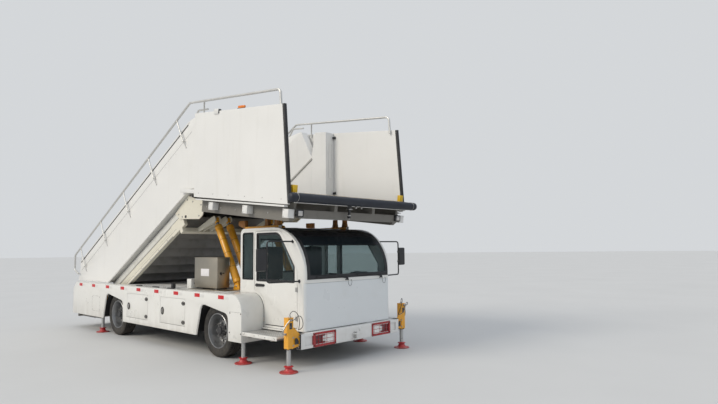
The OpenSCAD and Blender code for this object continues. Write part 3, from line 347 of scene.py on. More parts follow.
def bend(points, radius, steps=6):
    """The path through the points with its corners rounded."""
    pts = [Vector(p) for p in points]
    out = [pts[0]]
    for a, p, b in zip(pts, pts[1:], pts[2:]):
        u, v = a - p, b - p
        d = min(radius, u.length * 0.49, v.length * 0.49)
        s, e = p + u.normalized() * d, p + v.normalized() * d
        for i in range(steps + 1):
            t = i / steps
            out.append(s * (1 - t) ** 2 + p * 2 * t * (1 - t) + e * t ** 2)
    return out + [pts[-1]]


def rounded(corners, steps=8):
    """A closed outline whose corners are (x, y, radius)."""
    out = []
    n = len(corners)
    for i in range(n):
        p = Vector(corners[i][:2])
        u = (Vector(corners[i - 1][:2]) - p).normalized()
        v = (Vector(corners[(i + 1) % n][:2]) - p).normalized()
        r = max(corners[i][2], 0.001)
        half = acos(max(-1, min(1, u.dot(v)))) / 2
        c = p + (u + v).normalized() * r / sin(half)
        s, e = p + u * r / tan(half) - c, p + v * r / tan(half) - c
        a0 = atan2(s.y, s.x)
        turn = (atan2(e.y, e.x) - a0 + pi) % (2 * pi) - pi
        for a in [a0 + turn * k / steps for k in range(steps + 1)]:
            out.append(c + r * Vector((cos(a), sin(a))))
    return out


def plate(x0, x1, y0, y1, r, steps=8):
    """A rectangle's outline with rounded corners."""
    return rounded([(x0, y0, r), (x0, y1, r), (x1, y1, r), (x1, y0, r)], steps)


def doubled(half):
    """A profile followed by its mirror image along the axis."""
    return half + [(r, -h) for r, h in reversed(half)]


def inset(pts, d):
    """The same closed outline moved inwards by d."""
    area = sum(a.x * b.y - b.x * a.y for a, b in zip(pts, pts[1:] + pts[:1]))
    side = 1 if area > 0 else -1
    out = []
    for i, p in enumerate(pts):
        u, v = (p - pts[i - 1]).normalized(), (pts[(i + 1) % len(pts)] - p).normalized()
        n = Vector((-(u.y + v.y), u.x + v.x)).normalized() * side
        out.append(p + n * d / max(0.5, abs(n.dot(Vector((-u.y, u.x))))))
    return out


class Piece:
    """One mesh made of many parts, each with its own material."""

    def __init__(self, name):
        self.name = name
        self.bm = bmesh.new()
        self.looks = []
        self.index = 0
        self.place = Matrix()

    def look(self, name):
        if name not in self.looks:
            self.looks.append(name)
        self.index = self.looks.index(name)
        return self

    def at(self, place=None):
        self.place = place or Matrix()
        return self

    def merge(self, part):
        """Adds a part's faces, and frees the part."""
        mesh = bpy.data.meshes.new("part")
        part.to_mesh(mesh)
        part.free()
        self.bm.from_mesh(mesh)
        bpy.data.meshes.remove(mesh)
        return self

    def take(self, part, where=None):
        """Adds a part in the look and at the place set last."""
        bmesh.ops.recalc_face_normals(part, faces=part.faces)
        for f in part.faces:
            f.material_index = self.index
            f.smooth = True
        part.transform(self.place @ where if where else self.place)
        return self.merge(part)

    def soften(self, part, width):
        """Bevels a part's edges that turn by more than 0.5 radians."""
        if width > 0:
            bmesh.ops.recalc_face_normals(part, faces=part.faces)
            hard = [e for e in part.edges if len(e.link_faces) == 2 and e.calc_face_angle(0) > 0.5]
            bmesh.ops.bevel(part, geom=hard, offset=width, segments=2, profile=0.5, affect="EDGES",
                clamp_overlap=True)
        return part

    def box(self, a, b, width=0.003):
        """A box between any two opposite corners."""
        part = bmesh.new()
        bmesh.ops.create_cube(part, size=1)
        lo, hi = (Vector([pick(p) for p in zip(a, b)]) for pick in (min, max))
        for v in part.verts:
            v.co = Vector([(lo[i] + hi[i]) / 2 + v.co[i] * (hi[i] - lo[i]) for i in range(3)])
        return self.take(self.soften(part, min(width, 0.4 * min(hi - lo))))

    def prism(self, pts, lo, hi, width=0.002, axis="Y", where=None, hole=None):
        """The outline between lo and hi along the axis, with a hole of as many points if wanted."""
        part = bmesh.new()
        k = "XYZ".index(axis)

        def corners(outline, t):
            return [part.verts.new((*p[:k], t, *p[k:2])) for p in outline]

        n = len(pts)
        ends = [corners(pts, t) for t in (lo, hi)]
        if hole is None:
            for ring in ends:
                part.faces.new(ring)
        else:
            holes = [corners(hole, t) for t in (lo, hi)]
            for ring, gap in zip(ends, holes):
                for i in range(n):
                    part.faces.new((ring[i - 1], ring[i], gap[i], gap[i - 1]))
            for i in range(n):
                part.faces.new((holes[0][i - 1], holes[0][i], holes[1][i], holes[1][i - 1]))
        for i in range(n):
            part.faces.new((ends[0][i - 1], ends[0][i], ends[1][i], ends[1][i - 1]))
        return self.take(self.soften(part, width), where)

    def lathe(self, profile, where=None, steps=40, closed=False, shape=None):
        """A profile of (radius, height) turned round Z. shape may move each point."""
        part = bmesh.new()
        rings = []
        for r, h in profile:
            ring = []
            for i in range(steps if r > 1e-6 else 1):
                q, g = shape(i, r, h) if shape else (r, h)
                a = 2 * pi * i / steps
                ring.append(part.verts.new((q * cos(a), q * sin(a), g)))
            rings.append(ring)
        for a, b in zip(rings, rings[1:] + (rings[:1] if closed else [])):
            for i in range(steps):
                j = (i + 1) % steps
                quad = list(dict.fromkeys((a[i % len(a)], a[j % len(a)], b[j % len(b)], b[i % len(b)])))
                if len(quad) > 2:
                    part.faces.new(quad)
        return self.take(part, where)

    def tube(self, path, r, steps=12, closed=False, flat=1.0):
        """A round tube along the path, or an oval one if flat is under 1."""
        pts = [Vector(p) for p in path]
        if not closed:
            pts = [p for i, p in enumerate(pts) if i == 0 or (p - pts[i - 1]).length > 1e-5]
        part = bmesh.new()
        n = len(pts)
        side = None
        rings = []
        for i, p in enumerate(pts):
            a, b = pts[i - 1] if closed or i else p, pts[(i + 1) % n] if closed or i < n - 1 else p
            t = (b - a).normalized()
            if side is None:
                side = t.orthogonal().normalized()
            side = (side - t * side.dot(t)).normalized()
            up = t.cross(side)
            rings.append([part.verts.new(p + r * (side * cos(q) + up * sin(q) * flat)) for q in turns(steps)])
        for a, b in zip(rings, rings[1:] + (rings[:1] if closed else [])):
            for k in range(steps):
                part.faces.new((a[k - 1], a[k], b[k], b[k - 1]))
        if not closed:
            part.faces.new(rings[0])
            part.faces.new(rings[-1])
        return self.take(part)

    def bolt(self, x, y, z, axis="Y", r=0.008, h=0.006, out=1, turn=0.3):
        """A hexagon head on a washer, toward out along the axis."""
        place = spot(x, y, z, axis, turn) @ stretch(1, 1, out)
        self.lathe([(0, h), (r * 0.8, h), (r, h * 0.75), (r, 0)], place, 6)
        return self.lathe([(r * 1.1, h * 0.25), (r * 1.45, h * 0.2), (r * 1.5, 0)], place, 16)

    def solid(self, node, width=0.003, pick=None):
        """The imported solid's own faces with softened edges. pick chooses some of its bodies by their box."""
        src = NODES[node]
        part = bmesh.new()
        part.from_mesh(src.data)
        part.transform(Matrix.Translation((-NOSE, 0, 0)) @ src.matrix_world)
        bmesh.ops.remove_doubles(part, verts=part.verts, dist=2e-5)
        if pick:
            seen = set()
            drop = []
            for start in part.verts:
                if start in seen:
                    continue
                group, stack = [], [start]
                seen.add(start)
                while stack:
                    v = stack.pop()
                    group.append(v)
                    for e in v.link_edges:
                        o = e.other_vert(v)
                        if o not in seen:
                            seen.add(o)
                            stack.append(o)
                lo, hi = (Vector([end(v.co[i] for v in group) for i in range(3)]) for end in (min, max))
                if not pick(lo, hi):
                    drop += group
            bmesh.ops.delete(part, geom=drop, context="VERTS")
        bmesh.ops.dissolve_limit(part, angle_limit=0.004, verts=part.verts, edges=part.edges)
        return self.take(self.soften(part, width))

    def near(self, side):
        """Brings a right-hand solid to the left, where all is drawn. done with that side takes it back."""
        if side < 0:
            mirror(self.bm)
        return self

    def both(self):
        """Adds the mirror image on the other side of the truck."""
        other = self.bm.copy()
        mirror(other)
        return self.merge(other)

    def done(self, body, *stands_for, side=1, angle=32, centre=None):
        """Makes the object. It rides on the body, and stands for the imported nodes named."""
        self.near(side)
        if centre is None:
            self.bm.transform(Matrix.Translation((NOSE, 0, 0)))
        mesh = bpy.data.meshes.new(self.name)
        self.bm.to_mesh(mesh)
        self.bm.free()
        for name in self.looks:
            mesh.materials.append(M[name].mat)
        mesh.set_sharp_from_angle(angle=radians(angle))
        obj = bpy.data.objects.new(self.name, mesh)
        scene.collection.objects.link(obj)
        if centre is not None:
            obj.location = centre
        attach(obj, body)
        if stands_for:
            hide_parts(*stands_for)
        return obj


# Wheels: axis along Y, outer face toward +Y
def tyre_notch(i, r, h):
    """Every third step of the shoulders is sunk, which leaves the tread's blocks."""
    return (r - 0.011, h) if r > 0.391 and abs(h) > 0.06 and i % 3 == 0 else (r, h)


TYRE_HALF = [(0.252, 0.088), (0.259, 0.097), (0.268, 0.108), (0.279, 0.1145), (0.29, 0.1155), (0.293, 0.1175),
    (0.31, 0.118), (0.326, 0.1165), (0.33, 0.1178), (0.348, 0.1165), (0.362, 0.1125), (0.374, 0.1075),
    (0.38, 0.1075), (0.39, 0.1005), (0.3955, 0.091), (0.3975, 0.082), (0.398, 0.0665), (0.388, 0.064),
    (0.388, 0.058), (0.398, 0.0555), (0.398, 0.024), (0.388, 0.0215), (0.388, 0.0155), (0.398, 0.013)]
for corner in ("front_right", "front_left", "rear_right", "rear_left"):
    side = -1 if corner.endswith("right") else 1
    axle, twist = (FRONT_AXLE, 0.35) if corner.startswith("front") else (REAR_AXLE, 1.1)
    hub, turn = Vector((axle, side * 1.118, AXLE_Z)), spot(0, 0, 0, "Y", twist)
    t = Piece("tyre_" + corner + "_detail").look("tyre_rubber").at(turn)
    t.lathe(doubled(TYRE_HALF), None, 180, True, tyre_notch)
    t.done("wheel_" + corner, "tyre_" + corner, side=side, angle=40, centre=hub)
    w = Piece("rim_" + corner + "_detail").look("rim_silver").at(turn)
    w.lathe([(0.2585, 0.094), (0.264, 0.1), (0.2645, 0.1065), (0.259, 0.11), (0.251, 0.1075), (0.247, 0.099),
        (0.245, 0.086), (0.237, 0.071), (0.232, 0.046), (0.227, 0.012), (0.222, -0.018), (0.219, -0.038),
        (0.216, -0.0465)], None, 96)
    w.lathe([(0.216, -0.0465), (0.222, -0.052), (0.229, -0.076), (0.243, -0.09), (0.25, -0.104),
        (0.2635, -0.106), (0.264, -0.097)], None, 96)
    # Disc with eight round holes: each is cut from its own sector
    holes, mid, half_r = 8, 0.1905, 0.0255
    half_u = mid * pi / holes
    corner_a = atan2(half_r, half_u)
    corners = [corner_a, pi - corner_a, pi + corner_a, -corner_a]
    dirs = sorted({round(q % (2 * pi), 6) for q in turns(24) + corners})
    part = bmesh.new()
    for a0 in turns(holes):
        loops = []
        for layer in range(3):
            loop = []
            for q in dirs:
                reach = min(half_u / max(1e-9, abs(cos(q))), half_r / max(1e-9, abs(sin(q))))
                reach = reach if layer == 0 else 0.022
                u, v = reach * cos(q), reach * sin(q)
                r, a = mid + v, a0 + u / mid
                h = -0.0465 + (0.216 - r) * 0.05 - (0.01 if layer == 2 else 0)
                loop.append(part.verts.new((r * cos(a), r * sin(a), h)))
            loops.append(loop)
        for a, b in zip(loops, loops[1:]):
            for j in range(len(a)):
                part.faces.new((a[j - 1], a[j], b[j], b[j - 1]))
    bmesh.ops.remove_doubles(part, verts=part.verts, dist=5e-4)
    w.take(part)
    w.lathe([(0.165, -0.044), (0.158, -0.036), (0.15, -0.012), (0.144, 0.006), (0.136, 0.013), (0.124, 0.015),
        (0.1, 0.017)], None, 64)
    w.look("hub_black").lathe([(0.104, 0.016), (0.102, 0.036), (0.096, 0.044), (0.086, 0.047), (0.082, 0.058),
        (0.064, 0.062), (0.06, 0.078), (0.054, 0.086), (0.04, 0.089), (0, 0.09)], None, 40)
    w.look("axle_black").lathe([(0.118, -0.112), (0.15, -0.108), (0.154, -0.05), (0.12, -0.046)], None, 48)
    w.look("zinc")
    for k in range(8):
        a = pi * (k + 0.5) / 4
        x, y = 0.1215 * cos(a), 0.1215 * sin(a)
        w.lathe([(0.019, 0.014), (0.018, 0.018), (0.0145, 0.02), (0.0145, 0.04), (0.0125, 0.043),
            (0.008, 0.0435), (0.008, 0.052), (0, 0.053)], spot(x, y, 0), 6)
    for a in turns(10):
        w.lathe([(0.0065, 0.047), (0.006, 0.052), (0, 0.0525)],
            spot(0.074 * cos(a), 0.074 * sin(a), 0.008), 6)
    w.done("wheel_" + corner, "rim_" + corner, side=side, angle=30, centre=hub)


# Skirts: reflectors, seams, bolts and the access panel
SKIN = 1.3145
p = Piece("skirt_trim")
for x in (-6.735, -6.08, -5.407, -4.744, -4.082, -3.411, -2.746, -2.089, -1.424):
    p.look("reflector_red").box((x - 0.076, SKIN, 0.892), (x + 0.074, 1.3175, 0.949), 0.0012)
    p.look("reflector_white").box((x + 0.088, SKIN, 0.895), (x + 0.196, 1.317, 0.938), 0.0012)
p.look("seam_dark")
for x in (-6.125, -5.752):
    p.box((x - 0.0012, 1.3148, 0.416), (x + 0.0012, 1.3154, 0.717), 0)
for z in (0.416, 0.717):
    p.box((-6.125, 1.3148, z - 0.0012), (-5.752, 1.3154, z + 0.0012), 0)
p.box((-1.205, 1.3148, 0.722), (-0.905, 1.3156, 0.7245), 0)
p.box((-7.0, 1.3148, 0.968), (-1.2, 1.3154, 0.97), 0)
p.look("latch_dark")
for x, z in ((-1.19, 0.706), (-0.925, 0.706), (-1.199, 0.425), (-0.921, 0.425)):
    p.bolt(x, 1.315, z, r=0.0075, h=0.004)
for x, z in ((-6.105, 0.69), (-5.772, 0.69), (-6.105, 0.443), (-5.772, 0.443)):
    p.bolt(x, 1.315, z, r=0.0045, h=0.002)
p.look("body_white")
for x in (-6.95, -4.62, -3.49, -2.3, -1.0):
    p.box((x - 0.02, 1.275, 0.303), (x + 0.02, 1.3075, 0.312), 0.002)
p.look("lamp_red").box((-7.1595, 1.2305, 0.4205), (-7.146, 1.3115, 0.7995), 0.005)
for z in (0.49, 0.56, 0.63, 0.7, 0.76):
    p.box((-7.161, 1.24, z - 0.003), (-7.157, 1.302, z + 0.003), 0.001)
p.look("amber").box((-7.161, 1.24, 0.752), (-7.156, 1.302, 0.79), 0.002)
p.both().done("chassis")

# Skirts themselves, with softened edges and a rolled lip round each wheel arch
for name, side in SIDES:
    p = Piece("skirt_%s_sheet" % name).look("body_white").solid("skirt_" + name, 0.0025)
    for axle in (FRONT_X, REAR_X):
        p.tube(bend([(axle + x, side * 1.302, z) for x, z in ((-0.466, 0.304), (-0.327, 0.803),
            (0.394, 0.687), (0.403, 0.304))], 0.1), 0.0075, 8)
    p.done("chassis", "skirt_" + name)

# Locker doors: latch near the rear edge, two oval hinges near the front edge
LOCKERS = (-2.448, -3.716)
for number, (front, side) in enumerate([(x, s) for s in (-1, 1) for x in LOCKERS], 1):
    node = "locker_door_%d" % number
    p = Piece(node + "_sheet").look("body_white").solid(node, 0.0015).near(side)
    for z in (0.4595, 0.7645):
        oval = spot(front - 0.0565, SKIN, z, "Y") @ stretch(0.054, 0.033)
        p.look("latch_dark").lathe([(0, 0.0068), (0.62, 0.0068), (0.66, 0.0045), (0.78, 0.0045),
            (0.84, 0.0065), (0.95, 0.006), (1.0, 0.0025), (1.0, 0)], oval, 40)
        p.look("zinc")
        for dx, dz in ((-0.022, -0.013), (0.022, -0.013), (-0.022, 0.013), (0.022, 0.013)):
            p.lathe([(0, 0.0035), (0.003, 0.0033), (0.0062, 0.001), (0.0064, 0)],
                spot(front - 0.0565 + dx, 1.3205, z + dz, "Y"), 14)
    x, z = front - 0.737, 0.605
    p.look("latch_dark").lathe([(0, 0.004), (0.7, 0.004), (0.76, 0.0075), (0.92, 0.0075), (1.0, 0.003),
        (1.0, 0)], spot(x, SKIN, z, "Y") @ stretch(0.05, 0.066), 40)
    p.look("zinc").box((x - 0.02, 1.318, z - 0.04), (x + 0.014, 1.3235, z + 0.03), 0.0022)
    p.lathe([(0, 0.0045), (0.009, 0.004), (0.0105, 0.001), (0.0105, 0)],
        spot(x + 0.014, 1.3195, z + 0.03, "Y"), 20)
    p.look("latch_dark").box((x - 0.014, 1.322, z - 0.036), (x + 0.008, 1.3245, z - 0.022), 0.001)
    p.done(node, node, side=side)


# Cab: shell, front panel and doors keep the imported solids' faces, with softened edges
p = Piece("cab_body").look("body_white").look("tint_band").look("body_white").solid("cab_shell", 0.0)
for f in p.bm.faces:
    c = f.calc_center_median()
    if -0.7 < c.x < -0.3 and c.z > 1.85 and abs(c.y) < 0.87 and f.normal.z > 0.3:
        f.material_index = 1
p.done("chassis", "cab_shell", angle=24)
p = Piece("cab_front_panel").look("front_white").solid("front_panel", 0.006)
p.done("chassis", "front_panel", angle=24)

WINDOW = rounded([(-1.088, 1.155, 0.02), (-1.088, 1.872, 0.02), (-0.56, 1.872, 0.17), (-0.212, 1.385, 0.05),
    (-0.212, 1.155, 0.02)])
QUARTER = rounded([(-1.444, 1.17, 0.012), (-1.444, 1.885, 0.04), (-1.172, 1.885, 0.012),
    (-1.172, 1.17, 0.012)])
REAR_WINDOW = plate(-0.56, 0.56, 1.24, 1.8, 0.03)
for name, side in SIDES:
    p = Piece("door_%s_panel" % name).look("body_white")
    p.solid("door_" + name, 0.003, lambda lo, hi: hi.z - lo.z > 1.0).near(side)
    p.look("cab_window").prism(inset(WINDOW, 0.0005), 0.897, 0.903, 0)
    p.look("black_rubber").prism(inset(WINDOW, 0.0003), 0.9035, 0.9055, 0.0006, hole=inset(WINDOW, 0.03))
    for y in (0.9125, 0.8815):
        p.tube([(a.x, y, a.y) for a in inset(WINDOW, 0.002)], 0.0075, 8, closed=True)
    p.look("cab_dark").box((-1.05, 0.866, 0.62), (-0.3, 0.8795, 1.1), 0.004)
    p.box((-0.95, 0.852, 0.97), (-0.45, 0.87, 1.03), 0.008)
    p.look("black_plastic")
    # Pull handle near the rear edge, in a shallow dish
    p.prism(rounded([(-1.112, 1.068, 0.02), (-1.112, 1.118, 0.02), (-0.888, 1.112, 0.016),
        (-0.888, 1.078, 0.016)], 5), 0.9148, 0.9175, 0.001)
    p.tube(bend([(-1.092, 0.918, 1.093), (-1.088, 0.94, 1.094), (-0.915, 0.94, 1.096),
        (-0.905, 0.918, 1.096)], 0.02), 0.0095, 10, flat=0.8)
    p.lathe([(0, 0.01), (0.014, 0.009), (0.0175, 0.005), (0.0175, 0)], spot(-1.088, 0.916, 1.094, "Y"), 20)
    # Hinges on the front edge
    p.look("zinc")
    for z in (0.66, 1.06):
        p.tube([(-0.149, 0.9195, z - 0.035), (-0.149, 0.9195, z + 0.035)], 0.0065, 12)
        p.box((-0.195, 0.9145, z - 0.03), (-0.15, 0.9175, z + 0.03), 0.001)
    # Strip along the sill
    p.look("black_rubber").box((-0.86, 0.9145, 0.524), (-0.19, 0.9175, 0.534), 0.001)
    p.done("door_" + name, "door_" + name, side=side)

p = Piece("cab_trim").look("black_rubber")
p.prism(inset(QUARTER, 0.0005), 0.9035, 0.9065, 0.0006, hole=inset(QUARTER, 0.024))
p.tube([(a.x, 0.913, a.y) for a in inset(QUARTER, 0.001)], 0.0065, 8, closed=True)
p.look("seam_dark").tube([(-1.146, 0.9135, 1.1), (-1.146, 0.9135, 1.86)], 0.0022, 6)
# Gutter over the door and drip rail at the back
gutter = [(-0.69 + 0.693 * sin(a), 0.9165, 1.26 + 0.655 * cos(a)) for a in map(radians, range(0, 62, 6))]
p.look("body_white").tube([(-1.42, 0.9165, 1.915)] + gutter, 0.0048, 8)
# Step-board tread and the lower sill
p.look("tread_metal").box((-0.895, 0.93, 0.4545), (-0.14, 1.285, 0.4575), 0.001)
for k in range(17):
    x = -0.875 + k * 0.044
    p.box((x, 0.95, 0.457), (x + 0.012, 1.27, 0.4595), 0.001)
p.look("body_white").box((-0.905, 1.292, 0.405), (-0.128, 1.302, 0.458), 0.003)
p.box((-0.905, 0.915, 0.47), (-0.16, 0.96, 0.49), 0.004)
p.look("zinc")
for x in (-0.86, -0.62, -0.38, -0.17):
    p.bolt(x, 1.302, 0.43, r=0.006, h=0.004)
p.look("frame_grey")
for x in (-0.8, -0.3):
    p.box((x, 0.43, 0.385), (x + 0.05, 1.28, 0.4295), 0.004)
p.both()
p.look("black_rubber").prism(REAR_WINDOW, -1.5015, -1.4985, 0.0006, axis="X", hole=inset(REAR_WINDOW, 0.028))
p.tube([(-1.501, a.x, a.y) for a in REAR_WINDOW], 0.007, 8, closed=True)
p.look("frame_grey")
for y in (-0.28, 0.0, 0.28):
    p.tube([(-1.505, y, 1.235), (-1.505, y, 1.805)], 0.006, 8)
# Roof: three pressed ribs
p.look("body_white")
for y in (-0.45, 0.0, 0.45):
    p.box((-1.38, y - 0.05, 1.948), (-0.72, y + 0.05, 1.955), 0.004)
p.done("chassis")


# Windshield: black border on the curved pane, wipers, washer nozzles
PANE_FOOT, PANE_R, PANE_Z = 0.055, 0.69, 1.26


def pane(t, out=0.0):
    """A point on the windshield's face at distance t up from its lower edge."""
    if t < PANE_FOOT:
        return Vector((out, 0, PANE_Z - PANE_FOOT + t))
    a = (t - PANE_FOOT) / PANE_R
    return Vector(((PANE_R + out) * cos(a) - PANE_R, 0, PANE_Z + (PANE_R + out) * sin(a)))


def pane_strip(p, y0, y1, t0, t1, lo=-0.0015, hi=0.0008, parts=14):
    """A thin strip over the pane, from y0 to y1 and from t0 to t1."""
    part = bmesh.new()
    rows = []
    for k in range(parts + 1):
        t = t0 + (t1 - t0) * k / parts
        corners = (lo, y0), (lo, y1), (hi, y1), (hi, y0)
        rows.append([part.verts.new(pane(t, out) + Vector((0, y, 0))) for out, y in corners])
    for a, b in zip(rows, rows[1:]):
        for i in range(4):
            part.faces.new((a[i - 1], a[i], b[i], b[i - 1]))
    part.faces.new(rows[0])
    part.faces.new(rows[-1])
    p.take(part)


p = Piece("windshield_trim").look("black_rubber")
T_TOP = PANE_FOOT + PANE_R * radians(62.0)
pane_strip(p, -0.854, 0.854, 0.001, 0.052)
pane_strip(p, -0.854, 0.854, T_TOP - 0.105, T_TOP - 0.001)
for s in (-1, 1):
    pane_strip(p, s * 0.808, s * 0.854, 0.05, T_TOP - 0.1, parts=24)
    pane_strip(p, s * 0.853, s * 0.866, 0.0, T_TOP, -0.004, 0.004, 24)
pane_strip(p, -0.866, 0.866, -0.006, 0.006, -0.002, 0.005, 2)
pane_strip(p, -0.866, 0.866, T_TOP - 0.006, T_TOP + 0.006, -0.004, 0.003, 2)
# Tinted upper band, behind the glass line
p.look("tint_band")
pane_strip(p, -0.808, 0.808, T_TOP - 0.3, T_TOP - 0.105, -0.0016, -0.0008, 16)
p.look("black_plastic")
for y0, reach in ((0.698, -0.56), (-0.075, -0.62)):
    p.lathe([(0, 0.02), (0.014, 0.019), (0.019, 0.012), (0.021, 0)], spot(0.001, y0, 1.188, "X"), 24)
    p.tube(bend([(0.016, y0, 1.19), (0.022, y0 + reach * 0.25, 1.212), (0.02, y0 + reach * 0.55, 1.236)],
        0.03), 0.006, 8)
    p.tube(bend([(0.018, y0 + reach * 0.1, 1.228), (0.022, y0 + reach * 0.55, 1.24),
        (0.018, y0 + reach, 1.236)], 0.05), 0.0065, 8)
    p.box((0.004, y0 + reach, 1.222), (0.013, y0 + reach * 0.08, 1.232), 0.003)
    p.box((-0.002, y0 - 0.04, 1.162), (0.006, y0 + 0.04, 1.176), 0.003)
p.done("chassis")

# Dashboard details seen through the glass
p = Piece("dashboard_pod").look("cab_dark")
p.prism(rounded([(-0.335, 1.135, 0.02), (-0.205, 1.205, 0.02), (-0.19, 1.245, 0.015), (-0.25, 1.262, 0.02),
    (-0.345, 1.18, 0.015)], 4), 0.28, 0.62, 0.006)
p.look("black_plastic").box((-0.3, -0.1, 1.128), (-0.17, 0.12, 1.205), 0.008)
for k in range(6):
    p.lathe([(0, 0.006), (0.007, 0.005), (0.008, 0)], spot(-0.285 + 0.02 * (k % 3),
        0.17 + 0.03 * (k // 3), 1.172), 12)
p.look("label_white").box((-0.275, -0.16, 1.192), (-0.185, 0.1, 1.1945), 0.001)
p.look("steel_post").tube(bend([(-1.3, 0.0, 1.01), (-1.3, 0.0, 1.3), (-1.24, 0.0, 1.36)], 0.05), 0.012, 10)
p.look("black_plastic").lathe([(0, 0.028), (0.018, 0.024), (0.024, 0.008), (0.018, -0.016), (0, -0.02)],
    spot(-1.236, 0, 1.365), 20)
p.done("chassis")


# Seats: crowned cushions with a sewn border, each a soft form of its own
def cushion(name, lo, hi, crown, axis, channels):
    """A pad between lo and hi, crowned along axis (number, sense), with sewn channels across its face."""
    part = bmesh.new()
    bmesh.ops.create_cube(part, size=2)
    bmesh.ops.subdivide_edges(part, edges=part.edges[:], cuts=15, use_grid_fill=True)
    lo, hi = Vector(lo), Vector(hi)
    mid, half = (lo + hi) / 2, (hi - lo) / 2
    w, sense = axis
    u, v = [i for i in range(3) if i != w]
    top = half[w] - crown
    for vert in part.verts:
        c = vert.co.copy()
        sq = [t ** 2 for t in c]
        ball = Vector()
        for i in range(3):
            a, b = sq[i - 2], sq[i - 1]
            ball[i] = c[i] * sqrt(max(0, 1 - a / 2 - b / 2 + a * b / 3))
        mixed = c * 0.8 + ball * 0.2
        out = [mixed[i] * half[i] for i in range(3)]
        if c[w] * sense > 0:
            out[w] = sense * (mixed[w] * sense * top + crown * ((1 - sq[u]) * (1 - sq[v])))
        if c[w] * sense > 0.99:
            for at in channels:
                out[w] -= sense * 0.01 * exp(-((c[u] - at) / 0.045) ** 2)
        vert.co = mid + Vector(out)
    p = Piece(name).look("seat_vinyl").take(part)
    # Piping round the upper edge, a square with full corners
    ring = []
    for a in turns(64):
        point = [0, 0, 0]
        for i, t in ((u, cos(a)), (v, sin(a))):
            point[i] = mid[i] + half[i] * 0.93 * copysign(abs(t) ** 0.28, t)
        point[w] = mid[w] + sense * top * 0.84
        ring.append(point)
    p.look("black_rubber").tube(ring, 0.0035, 6, closed=True)
    p.done("chassis", "seats", angle=60)


for name, side in SIDES:
    y0, y1 = sorted((side * 0.203, side * 0.677))
    cushion("seat_base_" + name, (-1.296, y0, 1.022), (-0.824, y1, 1.123), 0.024, (2, 1), (-0.45, 0.0, 0.45))
    cushion("seat_back_" + name, (-1.368, y0, 1.135), (-1.304, y1, 1.672), 0.014, (0, 1), (-0.5, 0.0, 0.5))
p = Piece("seat_frames").look("cab_dark")
p.box((-1.28, 0.23, 1.0055), (-0.84, 0.65, 1.024), 0.004)
for y in (0.3, 0.58):
    p.tube(bend([(-1.33, y, 1.0065), (-1.335, y, 1.2)], 0.02), 0.011, 8)
p.both().done("chassis")

# Mirrors: bent tube arms, clamped head with a bright face at the rear
for name, side in SIDES:
    p = Piece("mirror_" + name).look("black_plastic")
    p.tube(bend([(-0.11, 0.926, 1.18), (-0.205, 1.405, 1.18), (-0.205, 1.405, 1.735), (-0.25, 0.926, 1.735)],
        0.05, 8), 0.0108, 14)
    for x, z in ((-0.11, 1.18), (-0.25, 1.735)):
        p.lathe([(0, 0.02), (0.014, 0.018), (0.018, 0.01), (0.024, 0.006), (0.025, 0.0)],
            spot(x, 0.9155, z, "Y"), 24)
    shell = bmesh.new()
    bmesh.ops.create_cube(shell, size=1)
    for v in shell.verts:
        front = v.co.x > 0
        v.co = Vector((-0.2075 + v.co.x * 0.035, 1.495 + v.co.y * (0.15 if front else 0.168),
            1.4845 + v.co.z * (0.28 if front else 0.303)))
    bmesh.ops.bevel(shell, geom=shell.edges[:], offset=0.012, segments=4, profile=0.6, affect="EDGES")
    p.take(shell)
    p.look("mirror_face").box((-0.2262, 1.423, 1.346), (-0.2247, 1.567, 1.623), 0.0006)
    p.look("latch_dark")
    for z in (1.4, 1.565):
        p.lathe(doubled([(0.0115, -0.018), (0.0165, -0.016)]), spot(-0.205, 1.405, z), 20)
        p.box((-0.214, 1.405, z - 0.012), (-0.196, 1.424, z + 0.012), 0.002)
    p.done("chassis", "mirrors", side=side)

# Bumper, lamps in deep red housings, tow bracket, end plates
p = Piece("bumper_beam").look("bumper_white").solid("bumper", 0.0025)
for s in (-1, 1):
    p.box((0.03, s * 0.584, 0.314), (0.0512, s * 0.976, 0.446), 0.0005)
p.done("chassis", "bumper", angle=28)
p = Piece("front_lamps")
rim = plate(0.386, 0.824, 0.283, 0.48, 0.01, 4)
p.look("lamp_red").prism(rim, 0.0508, 0.078, 0.0014, axis="X", hole=inset(rim, 0.032))
p.box((0.0506, 0.4, 0.297), (0.056, 0.812, 0.466), 0.001)
p.look("lamp_glow").box((0.055, 0.42, 0.312), (0.064, 0.79, 0.452), 0.006)
for y0, y1 in ((0.452, 0.56), (0.57, 0.64)):
    p.look("lamp_lens").box((0.06, y0, 0.345), (0.069, y1, 0.418), 0.005)
p.look("lamp_red")
for z in (0.33, 0.382, 0.434):
    p.box((0.061, 0.424, z - 0.003), (0.071, 0.786, z + 0.003), 0.001)
for y in (0.44, 0.565, 0.652, 0.722, 0.78):
    p.box((0.061, y - 0.0035, 0.314), (0.072, y + 0.0035, 0.45), 0.001)
p.look("zinc")
for y, z in ((0.396, 0.293), (0.814, 0.293), (0.396, 0.47), (0.814, 0.47)):
    p.bolt(0.078, y, z, "X", 0.004, 0.002)
p.both()
p.look("bumper_white").lathe([(0, 0.012), (0.02, 0.01), (0.026, 0.004), (0.028, 0)],
    spot(0.07, 0.12, 0.43, "X"), 24)
p.look("zinc").tube([(0.098, 0, 0.292), (0.098, 0, 0.402)], 0.0135, 14)
p.lathe([(0, 0.008), (0.02, 0.007), (0.023, 0)], spot(0.098, 0, 0.398), 20)
p.done("chassis", "lamps")
p = Piece("bumper_ends").look("black_plastic")
p.box((-0.026, 1.0403, 0.284), (0.066, 1.0455, 0.481), 0.002)
p.box((-0.0275, 0.98, 0.4865), (0.068, 1.044, 0.4905), 0.0015)
p.look("zinc")
for x, z in ((0.02, 0.31), (0.02, 0.455)):
    p.bolt(x, 1.0455, z)
p.both().done("chassis")

